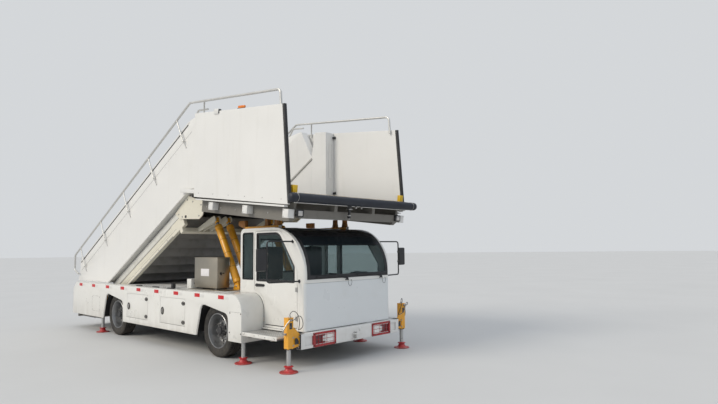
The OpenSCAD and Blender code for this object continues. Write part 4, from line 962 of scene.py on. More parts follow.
# Jack housings: square fronts with a bolted bracket, round ones behind
p = Piece("jack_housings").look("orange_paint").solid("jack_mounts", 0.003)
for v in p.bm.verts:
    if abs(v.co.x) < 0.062 and abs(v.co.y) > 1.141:
        middle = copysign(1.2, v.co.y)
        v.co.x *= 0.76
        v.co.y = middle + (v.co.y - middle) * 0.76
p.done("chassis", "jack_mounts", angle=28)
p = Piece("jack_fittings").look("orange_paint")
p.prism(plate(-0.048, 0.048, -0.048, 0.048, 0.006, 4), 0.7095, 0.719, 0.001, axis="Z",
    where=Matrix.Translation((0, 1.2, 0)))
p.prism([(1.158, 0.47), (1.158, 0.585), (1.142, 0.585), (1.046, 0.494), (1.046, 0.47)], 0.03, 0.0435,
    0.0015, axis="X")
p.prism([(1.158, 0.332), (1.158, 0.318), (1.142, 0.316), (1.046, 0.332)], 0.03, 0.0435, 0.0015, axis="X")
p.look("hub_black").prism([(1.128, 0.36), (1.128, 0.442), (1.09, 0.442), (1.062, 0.4), (1.062, 0.36)], 0.0446,
    0.0462, 0.0005, axis="X")
p.box((0.0436, 1.176, 0.57), (0.0452, 1.224, 0.65), 0.0005)
p.look("zinc")
for y, z in ((1.156, 0.452), (1.156, 0.35), (1.052, 0.455), (1.052, 0.345)):
    p.bolt(0.0445, y, z, "X", 0.009, 0.006)
p.lathe([(0, 0.022), (0.01, 0.021), (0.012, 0.014), (0.018, 0.012), (0.02, 0)], spot(0.012, 1.188, 0.719), 20)
for place in (spot(0.0, 1.244, 0.505, "Y"), spot(0.044, 1.21, 0.69, "X")):
    p.lathe([(0.0095, 0.045), (0.0125, 0.04), (0.0125, 0.024), (0.016, 0.022), (0.016, 0)], place, 6)
p.tube(bend([(0.0, 1.284, 0.505), (0.0, 1.3, 0.505), (0.01, 1.3, 0.56), (0.026, 1.272, 0.62),
    (0.058, 1.225, 0.688)], 0.02), 0.0085, 10)
for x, y, z in ((-0.96, 1.236, 0.76), (-5.755, 1.236, 0.78)):
    p.look("orange_paint").lathe([(0, 0.012), (0.04, 0.01), (0.046, 0.004), (0.0475, 0)], spot(x, y, z), 32)
    p.lathe([(0.0462, -0.3), (0.0525, -0.298), (0.0525, -0.275), (0.0462, -0.273)], spot(x, y, z - 0.06), 32)
    p.look("zinc").lathe([(0, 0.03), (0.009, 0.029), (0.01, 0.015), (0.014, 0.013), (0.015, 0)],
        spot(x, y, z + 0.011), 18)
p.look("hub_black").lathe([(0.031, -0.012), (0.046, -0.01), (0.05, -0.002), (0.05, 0.004), (0.031, 0.006)],
    spot(0, 1.2, 0.309), 32)
for x in (-0.96, -5.755):
    p.lathe([(0.031, -0.012), (0.04, -0.01), (0.044, -0.002), (0.044, 0.002), (0.031, 0.004)],
        spot(x, 1.236, 0.4), 32)
p.both().done("chassis")

# Jack legs: bright tube, red foot with an upper disc and a pressed rim
for number in range(1, 7):
    x, y, top = ((0.0, 1.2, 0.48), (-0.96, 1.236, 0.53), (-5.755, 1.236, 0.55))[(number - 1) % 3]
    node = "jack_leg_%d" % number
    p = Piece(node + "_detail").at(spot(x, y, 0))
    p.look("jack_red").lathe([(0, 0.0), (0.12, 0.0), (0.1245, 0.003), (0.125, 0.01), (0.121, 0.0145),
        (0.108, 0.015), (0.09, 0.0165), (0.072, 0.024), (0.058, 0.036), (0.051, 0.05), (0.047, 0.06),
        (0.0455, 0.0735), (0.058, 0.0745), (0.064, 0.0775), (0.064, 0.0825), (0.06, 0.0862), (0.04, 0.0875),
        (0.031, 0.0885)], None, 64)
    for a in turns(4):
        p.bolt(0.102 * cos(a + 0.4), 0.102 * sin(a + 0.4), 0.0152, "Z", 0.007, 0.005)
    p.look("jack_red" if x == 0 else "jack_tube").lathe([(0.031, 0.0882), (0.0315, 0.09), (0.0305, 0.092)],
        None, 48)
    p.look("jack_tube").lathe([(0.0, 0.088), (0.0297, 0.088), (0.0297, 0.16), (0.0297, 0.3),
        (0.0297, top - 0.002), (0.026, top), (0, top)], None, 48)
    p.done(node, node, side=-1 if number < 4 else 1, angle=40)

# Control cabinet on its tray, with door, lock, blank plate and vents
p = Piece("cabinet").look("stainless")
p.box((-2.7, -1.0, 1.005), (-2.022, -0.76, 1.505), 0.003)
p.box((-2.706, -1.006, 1.497), (-2.014, -0.754, 1.506), 0.002)
p.box((-2.0225, -0.996, 1.012), (-2.016, -0.764, 1.494), 0.0018)
for x in (-2.64, -2.12):
    p.look("frame_grey").box((x, -0.98, 0.975), (x + 0.06, -0.78, 1.0055), 0.003)
p.look("black_plastic").box((-2.66, -0.995, 0.975), (-2.46, -0.8, 1.003), 0.006)
p.look("label_white").box((-2.503, -1.0022, 1.197), (-2.256, -0.9995, 1.317), 0.0008)
p.look("black_plastic").lathe([(0, 0.012), (0.016, 0.011), (0.019, 0.006), (0.021, 0)],
    spot(-2.016, -0.934, 1.247, "X"), 24)
p.box((-2.01, -0.944, 1.215), (-1.998, -0.924, 1.262), 0.003)
p.box((-2.016, -0.905, 1.24), (-2.01, -0.87, 1.256), 0.002)
p.look("zinc")
for z in (1.1, 1.4):
    p.tube([(-2.017, -0.768, z - 0.03), (-2.017, -0.768, z + 0.03)], 0.006, 10)
for x, z in ((-2.68, 1.03), (-2.04, 1.03), (-2.68, 1.48), (-2.04, 1.48)):
    p.bolt(x, -1.0, z, "Y", 0.005, 0.003, -1)
p.look("stainless").box((-2.74, -1.1, 0.9752), (-1.66, -0.74, 0.9835), 0.002)
p.look("body_white").box((-2.98, -0.98, 0.975), (-2.84, -0.86, 1.135), 0.006)
p.look("black_plastic").tube(bend([(-2.84, -0.92, 1.06), (-2.79, -0.92, 1.06), (-2.76, -0.92, 1.1),
    (-2.7, -0.92, 1.1)], 0.03), 0.009, 10)
p.done("chassis", "control_box")

# Deck: hatch plates, black blocks, tie-down rings, bolts
p = Piece("deck_fittings")
p.look("deck_grey").box((-4.55, -0.86, 0.9745), (-3.3, 0.86, 0.9785), 0.0015)
p.box((-1.9, -1.12, 0.9745), (-1.53, -0.78, 0.979), 0.0015)
p.look("black_plastic")
for x, y in ((-4.25, -1.22), (-3.62, -1.22), (-3.05, -1.24)):
    p.box((x - 0.1, y - 0.018, 0.975), (x + 0.1, y + 0.018, 0.992), 0.005)
p.box((-3.18, -1.17, 0.975), (-3.12, -1.11, 1.055), 0.008)
p.look("zinc")
half_turn = [pi * k / 10 for k in range(11)]
for x in (-4.05, -3.35, -2.86):
    for s in (-1, 1):
        p.box((x - 0.035, s * 1.2 - 0.014, 0.975), (x + 0.035, s * 1.2 + 0.014, 0.981), 0.002)
        ring = [(x + 0.026 * cos(a), s * 1.2, 0.984 + 0.026 * max(0, sin(a))) for a in half_turn]
        p.tube(ring, 0.005, 8)
for x in (-4.53, -3.32):
    for y in (-0.8, -0.4, 0.0, 0.4, 0.8):
        p.bolt(x, y, 0.9785, "Z", 0.009, 0.004)
# Rear step: raised tread bars and edge strip
p.look("tread_metal")
for k in range(9):
    p.box((-7.105 + k * 0.045, -1.08, 0.3118), (-7.09 + k * 0.045, 1.08, 0.315), 0.0012)
p.look("yellow").box((-7.139, -1.12, 0.3118), (-7.118, 1.12, 0.3135), 0.0008)
p.done("chassis")

# Roof bars with white end caps, dark forks and their bolts. The dark orange of the forks and short rests is the
# orange paint with painted shade.
p = Piece("roof_bars").look("orange_paint").solid("roof_rests", 0.003, lambda lo, hi: hi.x - lo.x > 0.5)
p.look("dark_orange").solid("roof_rests", 0.003, lambda lo, hi: hi.x - lo.x <= 0.5)
for y in (-0.73, 0.73):
    p.look("bumper_white").box((-0.762, y - 0.029, 1.9515), (-0.752, y + 0.029, 1.9885), 0.003)
    p.look("dark_orange")
    for x in (-1.05, -0.82):
        p.box((x - 0.06, y - 0.045, 1.9895), (x + 0.06, y + 0.045, 1.9955), 0.002)
        for dx in (-0.022, 0.022):
            p.box((x + dx - 0.006, y - 0.034, 2.05), (x + dx + 0.006, y + 0.034, 2.118), 0.002)
    p.look("zinc")
    for x in (-1.54, -1.3, -1.0, -0.94, -0.8):
        p.bolt(x, y, 1.99, "Z", 0.009, 0.006)
p.done("chassis", "roof_rests")


# Lift cylinders: the barrel's foot is the origin, X runs up the rod
LIFT_YS = (0.47, 0.7)
LIFT_X, LIFT_Z = -1.845, 1.04
LIFT_DX, LIFT_DZ = -0.6847, 1.1103
LIFT_LEN = hypot(LIFT_DX, LIFT_DZ)
LIFT = Matrix.Translation((LIFT_X, 0, LIFT_Z)) @ Matrix.Rotation(-atan2(LIFT_DZ, LIFT_DX), 4, "Y")
FATTER = 1.24
for name, side in SIDES:
    node = "lift_barrels_" + name
    p = Piece(node + "_detail").look("orange_paint").solid(node, 0.002).near(side)
    for v in p.bm.verts:
        q = LIFT.inverted() @ v.co
        if 0.055 < q.x < 1.19:
            middle = min(LIFT_YS, key=lambda y: abs(q.y - y))
            v.co = LIFT @ Vector((q.x, middle + (q.y - middle) * FATTER, q.z * FATTER))
    p.at(LIFT)
    for y in LIFT_YS:
        line = spot(0, y, 0, "X")
        p.look("orange_paint")
        p.lathe([(0.0615, 0.06), (0.066, 0.062), (0.0675, 0.068), (0.0675, 0.112), (0.066, 0.116),
            (0.0615, 0.118)], line, 36)
        p.lathe([(0.0615, 1.1), (0.0645, 1.102), (0.066, 1.106), (0.066, 1.15), (0.0645, 1.154),
            (0.0615, 1.156)], line, 36)
        p.look("zinc").lathe([(0.0305, 1.182), (0.056, 1.182), (0.06, 1.178), (0.061, 1.158), (0.062, 1.156),
            (0.06, 1.154)], line, 36)
        p.look("black_rubber").lathe([(0.0302, 1.192), (0.038, 1.191), (0.04, 1.186), (0.04, 1.18)], line, 30)
        for x in (0.14, 1.075):
            p.look("orange_paint").lathe([(0.018, 0.056), (0.018, 0.074), (0.016, 0.076), (0, 0.076)],
                spot(x, y, 0), 20)
            p.look("zinc").lathe([(0.013, 0.075), (0.013, 0.086), (0.011, 0.089), (0, 0.089)],
                spot(x, y, 0), 6)
        p.tube(bend([(0.14, y, 0.082), (0.14, y, 0.104), (0.22, y, 0.104), (0.98, y, 0.082), (1.04, y, 0.104),
            (1.075, y, 0.104), (1.075, y, 0.084)], 0.018), 0.006, 8)
        p.look("hub_black")
        for x in (0.35, 0.62, 0.88):
            p.tube([(x, y + 0.0632 * cos(a), 0.0632 * sin(a)) for a in turns(28)], 0.0022, 6, closed=True)
            p.box((x - 0.01, y - 0.01, 0.061), (x + 0.01, y + 0.01, 0.098), 0.002)
        p.look("zinc").lathe([(0.0045, 0.0), (0.0045, 0.01), (0.002, 0.014), (0, 0.014)],
            spot(0.02, y, 0.04), 10)
    p.done(node, node, side=side)
    node = "lift_rods_" + name
    p = Piece(node + "_detail").at(LIFT)
    for y in LIFT_YS:
        line, eye = spot(0, y, 0, "X"), spot(LIFT_LEN, y, 0, "Y")
        p.look("rod_chrome").lathe([(0, 0.17), (0.0296, 0.17), (0.0298, 0.6), (0.0298, LIFT_LEN - 0.055),
            (0.0275, LIFT_LEN - 0.05)], line, 48)
        p.look("orange_paint").lathe([(r, LIFT_LEN - h) for r, h in ((0.0275, 0.07), (0.036, 0.066),
            (0.0385, 0.058), (0.0385, 0.028), (0.034, 0.02))], line, 36)
        p.lathe(doubled([(0.0, -0.03), (0.0385, -0.03), (0.0418, -0.027)]), eye, 40)
        p.look("zinc").lathe(doubled([(0, -0.0345), (0.016, -0.0345), (0.019, -0.031)]), eye, 30)
    p.done(node, node, side=side)
p = Piece("lift_bracket_detail").look("orange_paint").solid("lift_brackets", 0.002)
for s in (-1, 1):
    for y in LIFT_YS:
        p.look("orange_paint").box((-1.955, s * y - 0.075, 0.975), (-1.735, s * y + 0.075, 0.983), 0.003)
        p.look("zinc")
        for x in (-1.942, -1.748):
            for dy in (-0.062, 0.062):
                p.bolt(x, s * y + dy, 0.983, "Z", 0.009, 0.007)
        for e in (-0.052, 0.052):
            p.lathe([(0, 0.01), (0.012, 0.009), (0.015, 0.004), (0.016, 0)],
                spot(LIFT_X, s * y + e, LIFT_Z, "Y") @ stretch(1, 1, copysign(1, e)), 20)
p.done("chassis", "lift_brackets")


# Flights: painted stringers with flanges, dark steps with bright treads. The steps' dark grey is painted shade
# on the flights' undersides.
def steps(p, first):
    """Eleven tread sheets with ribs and nosings, the first one at that point of the flight's frame."""
    width = 0.985
    level = FLIGHT @ Matrix.Translation(first) @ Matrix.Rotation(radians(34.6), 4, "Y")
    for k in range(11):
        p.at(level @ Matrix.Translation((k * 0.285, 0, k * 0.1966)))
        p.look("tread_metal").box((0.012, -width, -0.0005), (0.27, width, 0.0018), 0.0006)
        for j in range(6):
            p.box((0.045 + j * 0.036, -width + 0.01, 0.0012), (0.055 + j * 0.036, width - 0.01, 0.004), 0.001)
        p.look("black_rubber").box((-0.0225, -width, -0.024), (0.016, width, 0.003), 0.003)
    return p.at()


def is_step(lo, hi):
    return lo.y < -0.97 and hi.y > 0.97 and hi.y < 1.01


p = Piece("lower_flight_frame").look("cream").solid("lower_flight", 0.0, lambda lo, hi: not is_step(lo, hi))
p.look("step_under").solid("lower_flight", 0.0, is_step)
p.at(FLIGHT)
for s in (-1, 1):
    p.look("flange_grey")
    for n0, n1 in ((-0.19, -0.176), (-0.375, -0.361)):
        lo_s = -0.55 if n0 > -0.3 else -0.35
        p.box((lo_s, s * 1.0595, n0), (2.58, s * 1.069, n1), 0.0015)
    p.look("cream")
    p.box((-0.5, s * 1.0597, -0.262), (2.6, s * 1.0625, -0.222), 0.001)
    p.look("seam_dark").box((-0.5, s * 1.06, -0.3065), (2.75, s * 1.0608, -0.3035), 0)
    p.look("zinc")
    for k in range(8):
        p.bolt(-0.15 + k * 0.36, s * 1.06, -0.335, "Y", 0.008, 0.005, s)
p.at()
steps(p, (-0.832, 0, -0.182))
p.done("lower_flight", "lower_flight", angle=26)

# The upper treads' line meets the platform floor at TOP_S along the flight
UPPER_Z = 0.132
TOP_S = ((FLOOR_Z - PIVOT_Z - UPPER_Z * cos(SLOPE) + (UPPER_Z * sin(SLOPE) - PIVOT_X) * tan(TILT))
    / (sin(SLOPE) + cos(SLOPE) * tan(TILT)))


def is_lip(lo, hi):
    return not is_step(lo, hi) and min(abs(lo.y), abs(hi.y)) > 1.055


# The upper stringers' greyer paint is painted shade under the balustrades; the lips below keep the cream
p = Piece("upper_flight_frame").look("flight_paint")
p.solid("upper_flight", 0.0,
    lambda lo, hi: not is_step(lo, hi) and (lo.y > 0 or hi.y < 0) and not is_lip(lo, hi))
p.look("cream").solid("upper_flight", 0.0015, is_lip)
p.look("step_under").solid("upper_flight", 0.0, is_step)
steps(p, (TOP_S - 11 * 0.3462, 0, UPPER_Z))
for s in (-1, 1):
    p.look("zinc")
    for x, z in ((-3.0, 2.205), (-2.46, 2.2), (-2.4, 2.38), (-2.66, 2.45), (-2.84, 2.49), (-3.12, 2.25)):
        p.bolt(x, s * 1.078, z, "Y", 0.011, 0.007, s)
    p.look("hub_black").lathe([(0, 0.016), (0.018, 0.014), (0.024, 0.006), (0.026, 0)],
        spot(-2.88, s * 1.078, 2.205, "Y") @ stretch(1, 1, s), 24)
    p.at(FLIGHT).look("seam_dark").box((-0.4, s * 1.0598, -0.06), (3.25, s * 1.0606, -0.056), 0)
    # Black strip between the upper stringer and its lip: painted shade of the gap between them
    p.look("black_rubber").box((-0.41, s * 1.05, -0.1745), (3.28, s * 1.059, -0.168), 0.001)
    p.at()
p.done("upper_flight", "upper_flight", angle=26)

# Balustrades: cap strip, black line, seam, rivets, foot angle
for name, side in SIDES:
    p = Piece("balustrade_%s_panel" % name).look("panel_white").solid("balustrade_" + name, 0.004).near(side)
    p.at(FLIGHT)
    p.look("bumper_white").box((-1.055, 0.996, 1.0455), (4.075, 1.156, 1.0555), 0.003)
    p.box((-1.055, 1.1496, 1.026), (4.075, 1.156, 1.05), 0.002)
    p.look("black_rubber").box((-1.05, 1.1497, 1.006), (4.02, 1.1535, 1.0235), 0.0015)
    p.look("seam_dark").box((-1.1, 1.1498, 0.8445), (4.06, 1.1507, 0.8485), 0)
    p.look("bumper_white").box((-0.02, 1.1495, -0.001), (3.2, 1.1545, 0.016), 0.0012)
    p.look("zinc")
    for count, x, gap, y, z in ((13, -0.95, 0.4, 1.15, 0.8), (9, 0.05, 0.38, 1.1545, 0.008)):
        for k in range(count):
            p.lathe([(0, 0.0028), (0.004, 0.0024), (0.0062, 0.0006), (0.0064, 0)],
                spot(x + k * gap, y, z, "Y"), 12)
    p.at()
    p.look("bumper_white").box((-7.3, 1.1495, 0.983), (-5.77, 1.156, 1.004), 0.0015)
    p.look("zinc")
    for k in range(5):
        p.bolt(-7.2 + k * 0.33, 1.156, 0.993, "Y", 0.0055, 0.003)
    p.done("upper_flight", "balustrade_" + name, side=side, angle=26)


# Platform: walls with bottom lips and rubber front edges
def leaned(v):
    """Tips a panel's front end back, by 0.11 at its top edge."""
    if v.x > -0.005 and abs(v.y) > 1.19:
        t = max(0.0, (v.z - over(0.04, -0.17)) / 1.38)
        v.x -= 0.11 * t
        v.z += 0.11 * t * tan(TILT) * min(1.0, t)
    return v


WALL_X = -1.56
p = Piece("platform_panels").look("panel_white").solid("platform_walls", 0.003)
for s in (-1, 1):
    p.look("bumper_white").prism([(x, over(x, h)) for x, h in ((-2.27, -0.192), (-0.02, -0.18),
        (-0.02, -0.206), (-2.27, -0.212))], s * 1.196, s * 1.264, 0.003)
    # Rubber edge: a hollow D strip with a groove, on each panel's front end
    z0, z1 = over(0.04, -0.15), over(0.04, 1.212)
    p.look("black_rubber")
    section = rounded([(0.04, 1.206, 0.003), (0.04, 1.256, 0.003), (0.084, 1.256, 0.018),
        (0.09, 1.206, 0.018)], 5)
    p.prism([(q.x, s * q.y) for q in section], z0, z1, 0.002, axis="Z")
    p.look("groove_grey").box((0.046, s * 1.2562, z0 + 0.01), (0.052, s * 1.2575, z1 - 0.01), 0.0004)
    p.look("flange_grey").prism([(-1.94, 3.345), (-1.925, 3.318), (-2.95, 2.712), (-2.965, 2.738)],
        s * 0.9825, s * 0.9995, 0.001)
    # Door recess in the cross wall, with black hinge blocks
    y0, y1 = sorted((s * 1.065, s * 1.165))
    p.look("panel_white")
    za, zb = over(WALL_X, 0.35), over(WALL_X, 1.0)
    ring = [Vector(q) for q in ((y0, za), (y0, zb), (y1, zb), (y1, za))]
    p.prism(ring, -1.5605, -1.5545, 0.0015, axis="X", hole=inset(ring, 0.014))
    p.look("black_plastic")
    for z in (over(WALL_X, 0.06), over(WALL_X, 1.1)):
        p.box((WALL_X, s * 1.175, z), (-1.51, s * 1.209, z + 0.035), 0.004)
        p.tube([(-1.508, s * 1.195, z - 0.006), (-1.508, s * 1.195, z + 0.042)], 0.008, 10)
    p.look("zinc")
    for k in range(6):
        x = -2.2 + k * 0.42
        p.bolt(x, s * 1.25, over(x, -0.1), "Y", 0.006, 0.003, s)
for v in p.bm.verts:
    v.co = leaned(v.co)
p.done("upper_flight", "platform_walls", angle=26)


def is_end(lo, hi):
    """Whether a body of the platform's floor is an end of its under-frame."""
    y = min(abs(lo.y), abs(hi.y))
    return (hi.x - lo.x < 0.25 and y > 1.1) or y > 1.15


# The under-frame's dark grey is painted shade; its end pieces are white
p = Piece("platform_frame").look("under_grey").solid("platform_floor", 0.0, lambda lo, hi: not is_end(lo, hi))
p.look("bumper_white").solid("platform_floor", 0.003, is_end)
p.at(PLATFORM)
p.look("tread_metal").box((-2.2, -0.992, -0.0005), (0.13, 0.992, 0.0025), 0.0008)
for k in range(30):
    p.box((-2.14 + k * 0.075, -0.975, 0.002), (-2.125 + k * 0.075, 0.975, 0.0042), 0.0009)
p.look("yellow").box((0.085, -0.99, 0.0024), (0.128, 0.99, 0.0046), 0.0008)
for s in (-1, 1):
    p.look("hub_black").box((-2.861, s * 1.166, -0.102), (-2.859, s * 1.202, -0.053), 0)
    p.box((-1.9408, s * 1.166, -0.102), (-1.939, s * 1.202, -0.053), 0)
    p.look("yellow").box((0.02, s * 1.115, 0.0), (0.085, s * 1.188, 0.105), 0.006)
    p.look("zinc")
    for x in (-1.82, -0.91, 0.02):
        for dz in (-0.335, -0.245):
            p.bolt(x - 0.04, s * 1.25, dz, "Y", 0.006, 0.003, s)
    for k in range(6):
        p.bolt(-2.1 + k * 0.4, s * 1.14, -0.31, "Y", 0.01, 0.006, s)
# Rubber channel behind the roll, cable trays under the floor
p.look("black_rubber").box((0.15, -1.2, -0.128), (0.158, 1.2, -0.008), 0.002)
p.look("cab_dark")
for y in (-0.62, 0.62):
    p.box((-2.1, y - 0.03, -0.06), (0.1, y + 0.03, -0.0125), 0.004)
# Distance sensor hanging under the middle of the front edge
p.look("hub_black").box((0.1505, -0.195, -0.172), (0.1585, -0.105, -0.055), 0.002)
p.look("zinc").box((0.128, -0.185, -0.185), (0.19, -0.115, -0.17), 0.003)
p.look("black_plastic").lathe([(0, 0.006), (0.02, 0.005), (0.024, 0), (0.024, -0.03), (0.02, -0.036),
    (0.02, -0.07), (0.026, -0.076), (0.026, -0.118), (0.018, -0.128), (0, -0.13)],
    spot(0.158, -0.15, -0.185), 28)
p.look("zinc").lathe([(0.0265, -0.078), (0.0275, -0.08), (0.0275, -0.092), (0.0265, -0.094)],
    spot(0.158, -0.15, -0.185), 28)
p.lathe([(0, 0.012), (0.01, 0.008), (0.012, 0), (0.01, -0.008), (0, -0.012)], spot(0.158, -0.15, -0.322), 16)
for y in (-0.02, 0.1):
    p.box((0.152, y - 0.015, -0.165), (0.172, y + 0.015, -0.128), 0.003)
p.done("upper_flight", "platform_floor", angle=28)

# Lamps: under the front edge, beacon and marker lamp on the right panel's top edge
p = Piece("platform_lamp_set").at(PLATFORM)
for s in (-1, 1):
    y0, y1 = sorted((s * 0.992, s * 1.128))
    p.look("black_plastic").box((0.0803, y0, -0.328), (0.112, y1, -0.227), 0.01)
    p.look("lamp_lens").box((0.11, y0 + 0.03, -0.312), (0.1175, y1 - 0.03, -0.243), 0.004)
    p.look("zinc").tube([(0.099, y0 - 0.004, -0.277), (0.099, y1 + 0.004, -0.277)], 0.006, 10)
p.look("amber").box((-1.285, -1.246, 1.218), (-1.115, -1.212, 1.262), 0.014)
p.look("black_plastic").box((-1.292, -1.249, 1.213), (-1.108, -1.209, 1.22), 0.002)
p.look("bumper_white").box((-1.905, -1.268, 1.165), (-1.775, -1.208, 1.248), 0.006)
p.look("black_plastic").box((-1.776, -1.262, 1.172), (-1.768, -1.214, 1.241), 0.003)
p.done("upper_flight", "platform_lamps")


# Front roll: a soft covered buffer with creases, domed ends and a wire strap near each end
def crease(i, r, h):
    """Shallow waves in the cover, and a groove under each strap."""
    if r < 0.02:
        return r, h
    a = 2 * pi * i / 64
    wave = 0.55 * sin(9 * h + 2 * a) + 0.45 * sin(23 * h - 3 * a + 1.3)
    near = exp(-((abs(h) - STRAP_Y) / 0.018) ** 2)
    return r - 0.0012 * (1 + wave) - 0.0035 * near, h


ROLL_X, ROLL_Z, STRAP_Y = 0.2153, -0.067, 1.245
ends = [(0, 1.36), (0.02, 1.359), (0.038, 1.354), (0.052, 1.345), (0.06, 1.333), (0.064, 1.318), (0.065, 1.3)]
body = [(0.065, 1.28 - k * 0.02) for k in range(129)]
p = Piece("front_roll").look("buffer_cover").at(PLATFORM)
p.lathe([(r, h) for r, h in ends] + body + [(r, -h) for r, h in reversed(ends)], spot(ROLL_X, 0, ROLL_Z, "Y"),
    64, shape=crease)
p.look("zinc")
for h in (-STRAP_Y, STRAP_Y):
    strap = [(ROLL_X + 0.0645 * cos(a), h, ROLL_Z + 0.0645 * sin(a)) for a in turns(48)]
    p.tube(strap, 0.0028, 8, closed=True)
p.done("upper_flight", "front_buffer", angle=60)

# Hand rails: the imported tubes, with flanges at the posts' feet
p = Piece("rail_tubes").look("rail_steel").solid("hand_rails", 0.0)
p.at(FLIGHT)
for s in (-1, 1):
    for k in range(5):
        x = 3.8 - k * 1.162
        p.look("rail_steel").lathe([(0.0135, -0.006), (0.017, -0.002), (0.0175, 0.006), (0.0135, 0.01)],
            spot(x, s * 1.19, 1.256), 20)
        p.tube(bend([(x, s * 1.1905, 0.835), (x - 0.01, s * 1.172, 0.79), (x - 0.012, s * 1.1535, 0.7)],
            0.03), 0.0075, 8)
        p.box((x - 0.028, s * 1.1495, 0.69), (x + 0.008, s * 1.1545, 0.73), 0.002)
        p.look("zinc")
        p.bolt(x - 0.01, s * 1.1545, 0.7, "Y", 0.0055, 0.004, s)
p.done("upper_flight", "hand_rails", angle=40)


# Hoses, each a smooth curve of real length between two fittings
def hose(name, points, thick, look="hose"):
    pts = [Vector(q) + Vector((NOSE, 0, 0)) for q in points]
    ext = [pts[0] * 2 - pts[1]] + pts + [pts[-1] * 2 - pts[-2]]
    path = []
    for a, b, c, d in zip(ext, ext[1:], ext[2:], ext[3:]):
        for t in (0, 0.25, 0.5, 0.75):
            path.append(0.5 * (2 * b + (c - a) * t + (2 * a - 5 * b + 4 * c - d) * t * t
                + (3 * b - a - 3 * c + d) * t ** 3))
    path.append(pts[-1])
    data = bpy.data.curves.new(name, "CURVE")
    data.dimensions = "3D"
    data.bevel_depth = thick / 2
    data.bevel_resolution = 3
    data.use_fill_caps = True
    spline = data.splines.new("POLY")
    spline.points.add(len(path) - 1)
    for point, q in zip(spline.points, path):
        point.co = (*q, 1)
    data.materials.append(M[look].mat)
    obj = bpy.data.objects.new(name, data)
    scene.collection.objects.link(obj)
    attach(obj, "chassis")


for name, side in SIDES:
    hose("jack_hose_outer_" + name, [(x, side * y, z) for x, y, z in ((0.06, 1.21, 0.69),
        (0.096, 1.209, 0.692), (0.132, 1.204, 0.708), (0.15, 1.188, 0.732), (0.158, 1.164, 0.746),
        (0.164, 1.136, 0.742), (0.168, 1.114, 0.716), (0.166, 1.098, 0.676), (0.158, 1.086, 0.632),
        (0.134, 1.078, 0.59), (0.094, 1.074, 0.562), (0.046, 1.073, 0.552))], 0.01, "hose_grey")
    hose("jack_hose_top_" + name, [(x, side * y, z) for x, y, z in ((0.012, 1.188, 0.734),
        (0.013, 1.187, 0.762), (0.026, 1.178, 0.786), (0.046, 1.164, 0.8), (0.07, 1.146, 0.796),
        (0.088, 1.126, 0.77), (0.094, 1.106, 0.73), (0.09, 1.09, 0.68), (0.078, 1.078, 0.632),
        (0.062, 1.07, 0.59), (0.046, 1.066, 0.545))], 0.009)
for number, y in enumerate((-0.03, 0.75)):
    hose("washer_hose_%d" % number, [(x, y + dy, z) for x, dy, z in ((0.006, -0.038, 1.168),
        (0.02, -0.04, 1.16), (0.026, -0.043, 1.135), (0.026, -0.038, 1.105), (0.026, -0.018, 1.08),
        (0.026, 0.008, 1.078), (0.026, 0.028, 1.1), (0.026, 0.034, 1.13), (0.022, 0.032, 1.156),
        (0.006, 0.03, 1.168))], 0.0048)


# Chassis: rails with bolts, access holes and pipes, then beams, tail frame and deck
RAIL_LOW = 0.52
p = Piece("frame_rails").look("frame_grey").solid("frame", 0.004)
p.look("hub_black")
for k in range(9):
    p.lathe([(0, 0.0012), (0.026, 0.0012), (0.03, 0.0004), (0.03, 0)],
        spot(-1.3 - k * 0.47, 0.42, RAIL_LOW + 0.095, "Y"), 24)
p.look("zinc")
for k in range(22):
    for z in (0.03, 0.16):
        p.bolt(-1.05 - k * 0.2, 0.42, RAIL_LOW + z, "Y", 0.008, 0.006)
p.look("black_plastic")
p.tube([(-1.1 - k * 0.1, 0.412 if k % 2 else 0.414, RAIL_LOW - 0.012) for k in range(42)], 0.01, 8)
p.look("rod_chrome").tube([(-1.1 - k * 0.1, 0.385, RAIL_LOW - 0.01) for k in range(42)], 0.006, 8)
p.look("zinc")
for k in range(11):
    p.box((-1.25 - k * 0.38, 0.372, RAIL_LOW - 0.02), (-1.225 - k * 0.38, 0.426, RAIL_LOW), 0.002)
p.both().done("chassis", "frame")
Piece("cross_beams").look("frame_grey").solid("deck_beams", 0.003).done("chassis", "deck_beams")
p = Piece("tail_frame").look("frame_grey").solid("rear_frame", 0.003)
for s in (-1, 1):
    p.look("zinc").lathe([(0, 0.012), (0.026, 0.01), (0.032, 0.004), (0.034, 0)],
        spot(-6.297, s * 1.1055, 0.3945, "Y") @ stretch(1, 1, s), 28)
p.done("chassis", "rear_frame")
# Wheel housings: dark liners, open at the foot. Their black is partly the liners' own colour and partly painted
# shade inside the arches. The front ones are longer and open inward for the steering.
p = Piece("wheel_housings").look("liner_black")
for x, reach, walled in ((FRONT_X, 0.5, False), (REAR_X, 0.442, True)):
    arcs = []
    for a, c in ((reach, 0.442), (reach - 0.005, 0.437), (0.125, 0.125)):
        arcs.append([Vector((x + a * cos(pi * k / 24), AXLE_Z + c * sin(pi * k / 24))) for k in range(25)])
    arc, inner, hole = arcs
    p.prism(arc + inner[::-1], 0.795, 1.294, 0)
    if walled:
        p.prism(inner + hole[::-1], 0.79, 0.795, 0)
    for e in (-reach, reach - 0.005):
        p.box((x + e, 0.795, 0.345), (x + e + 0.005, 1.294, 0.4), 0)
    for k in range(1, 6):
        u, z = x + (reach - 0.0055) * cos(pi * k / 6), AXLE_Z + 0.4365 * sin(pi * k / 6)
        p.tube([(u, 0.82, z), (u, 1.285, z)], 0.004, 8)
p.both().done("chassis")
Piece("deck_plate").look("deck_grey").solid("deck", 0.0015).done("chassis", "deck", angle=26)
p = Piece("entry_steps").look("body_white").solid("step_boards", 0.003)
for k in range(9):
    p.box((-0.86, 0.935 + k * 0.04, 0.4545), (-0.175, 0.947 + k * 0.04, 0.458), 0.0012)
p.look("zinc")
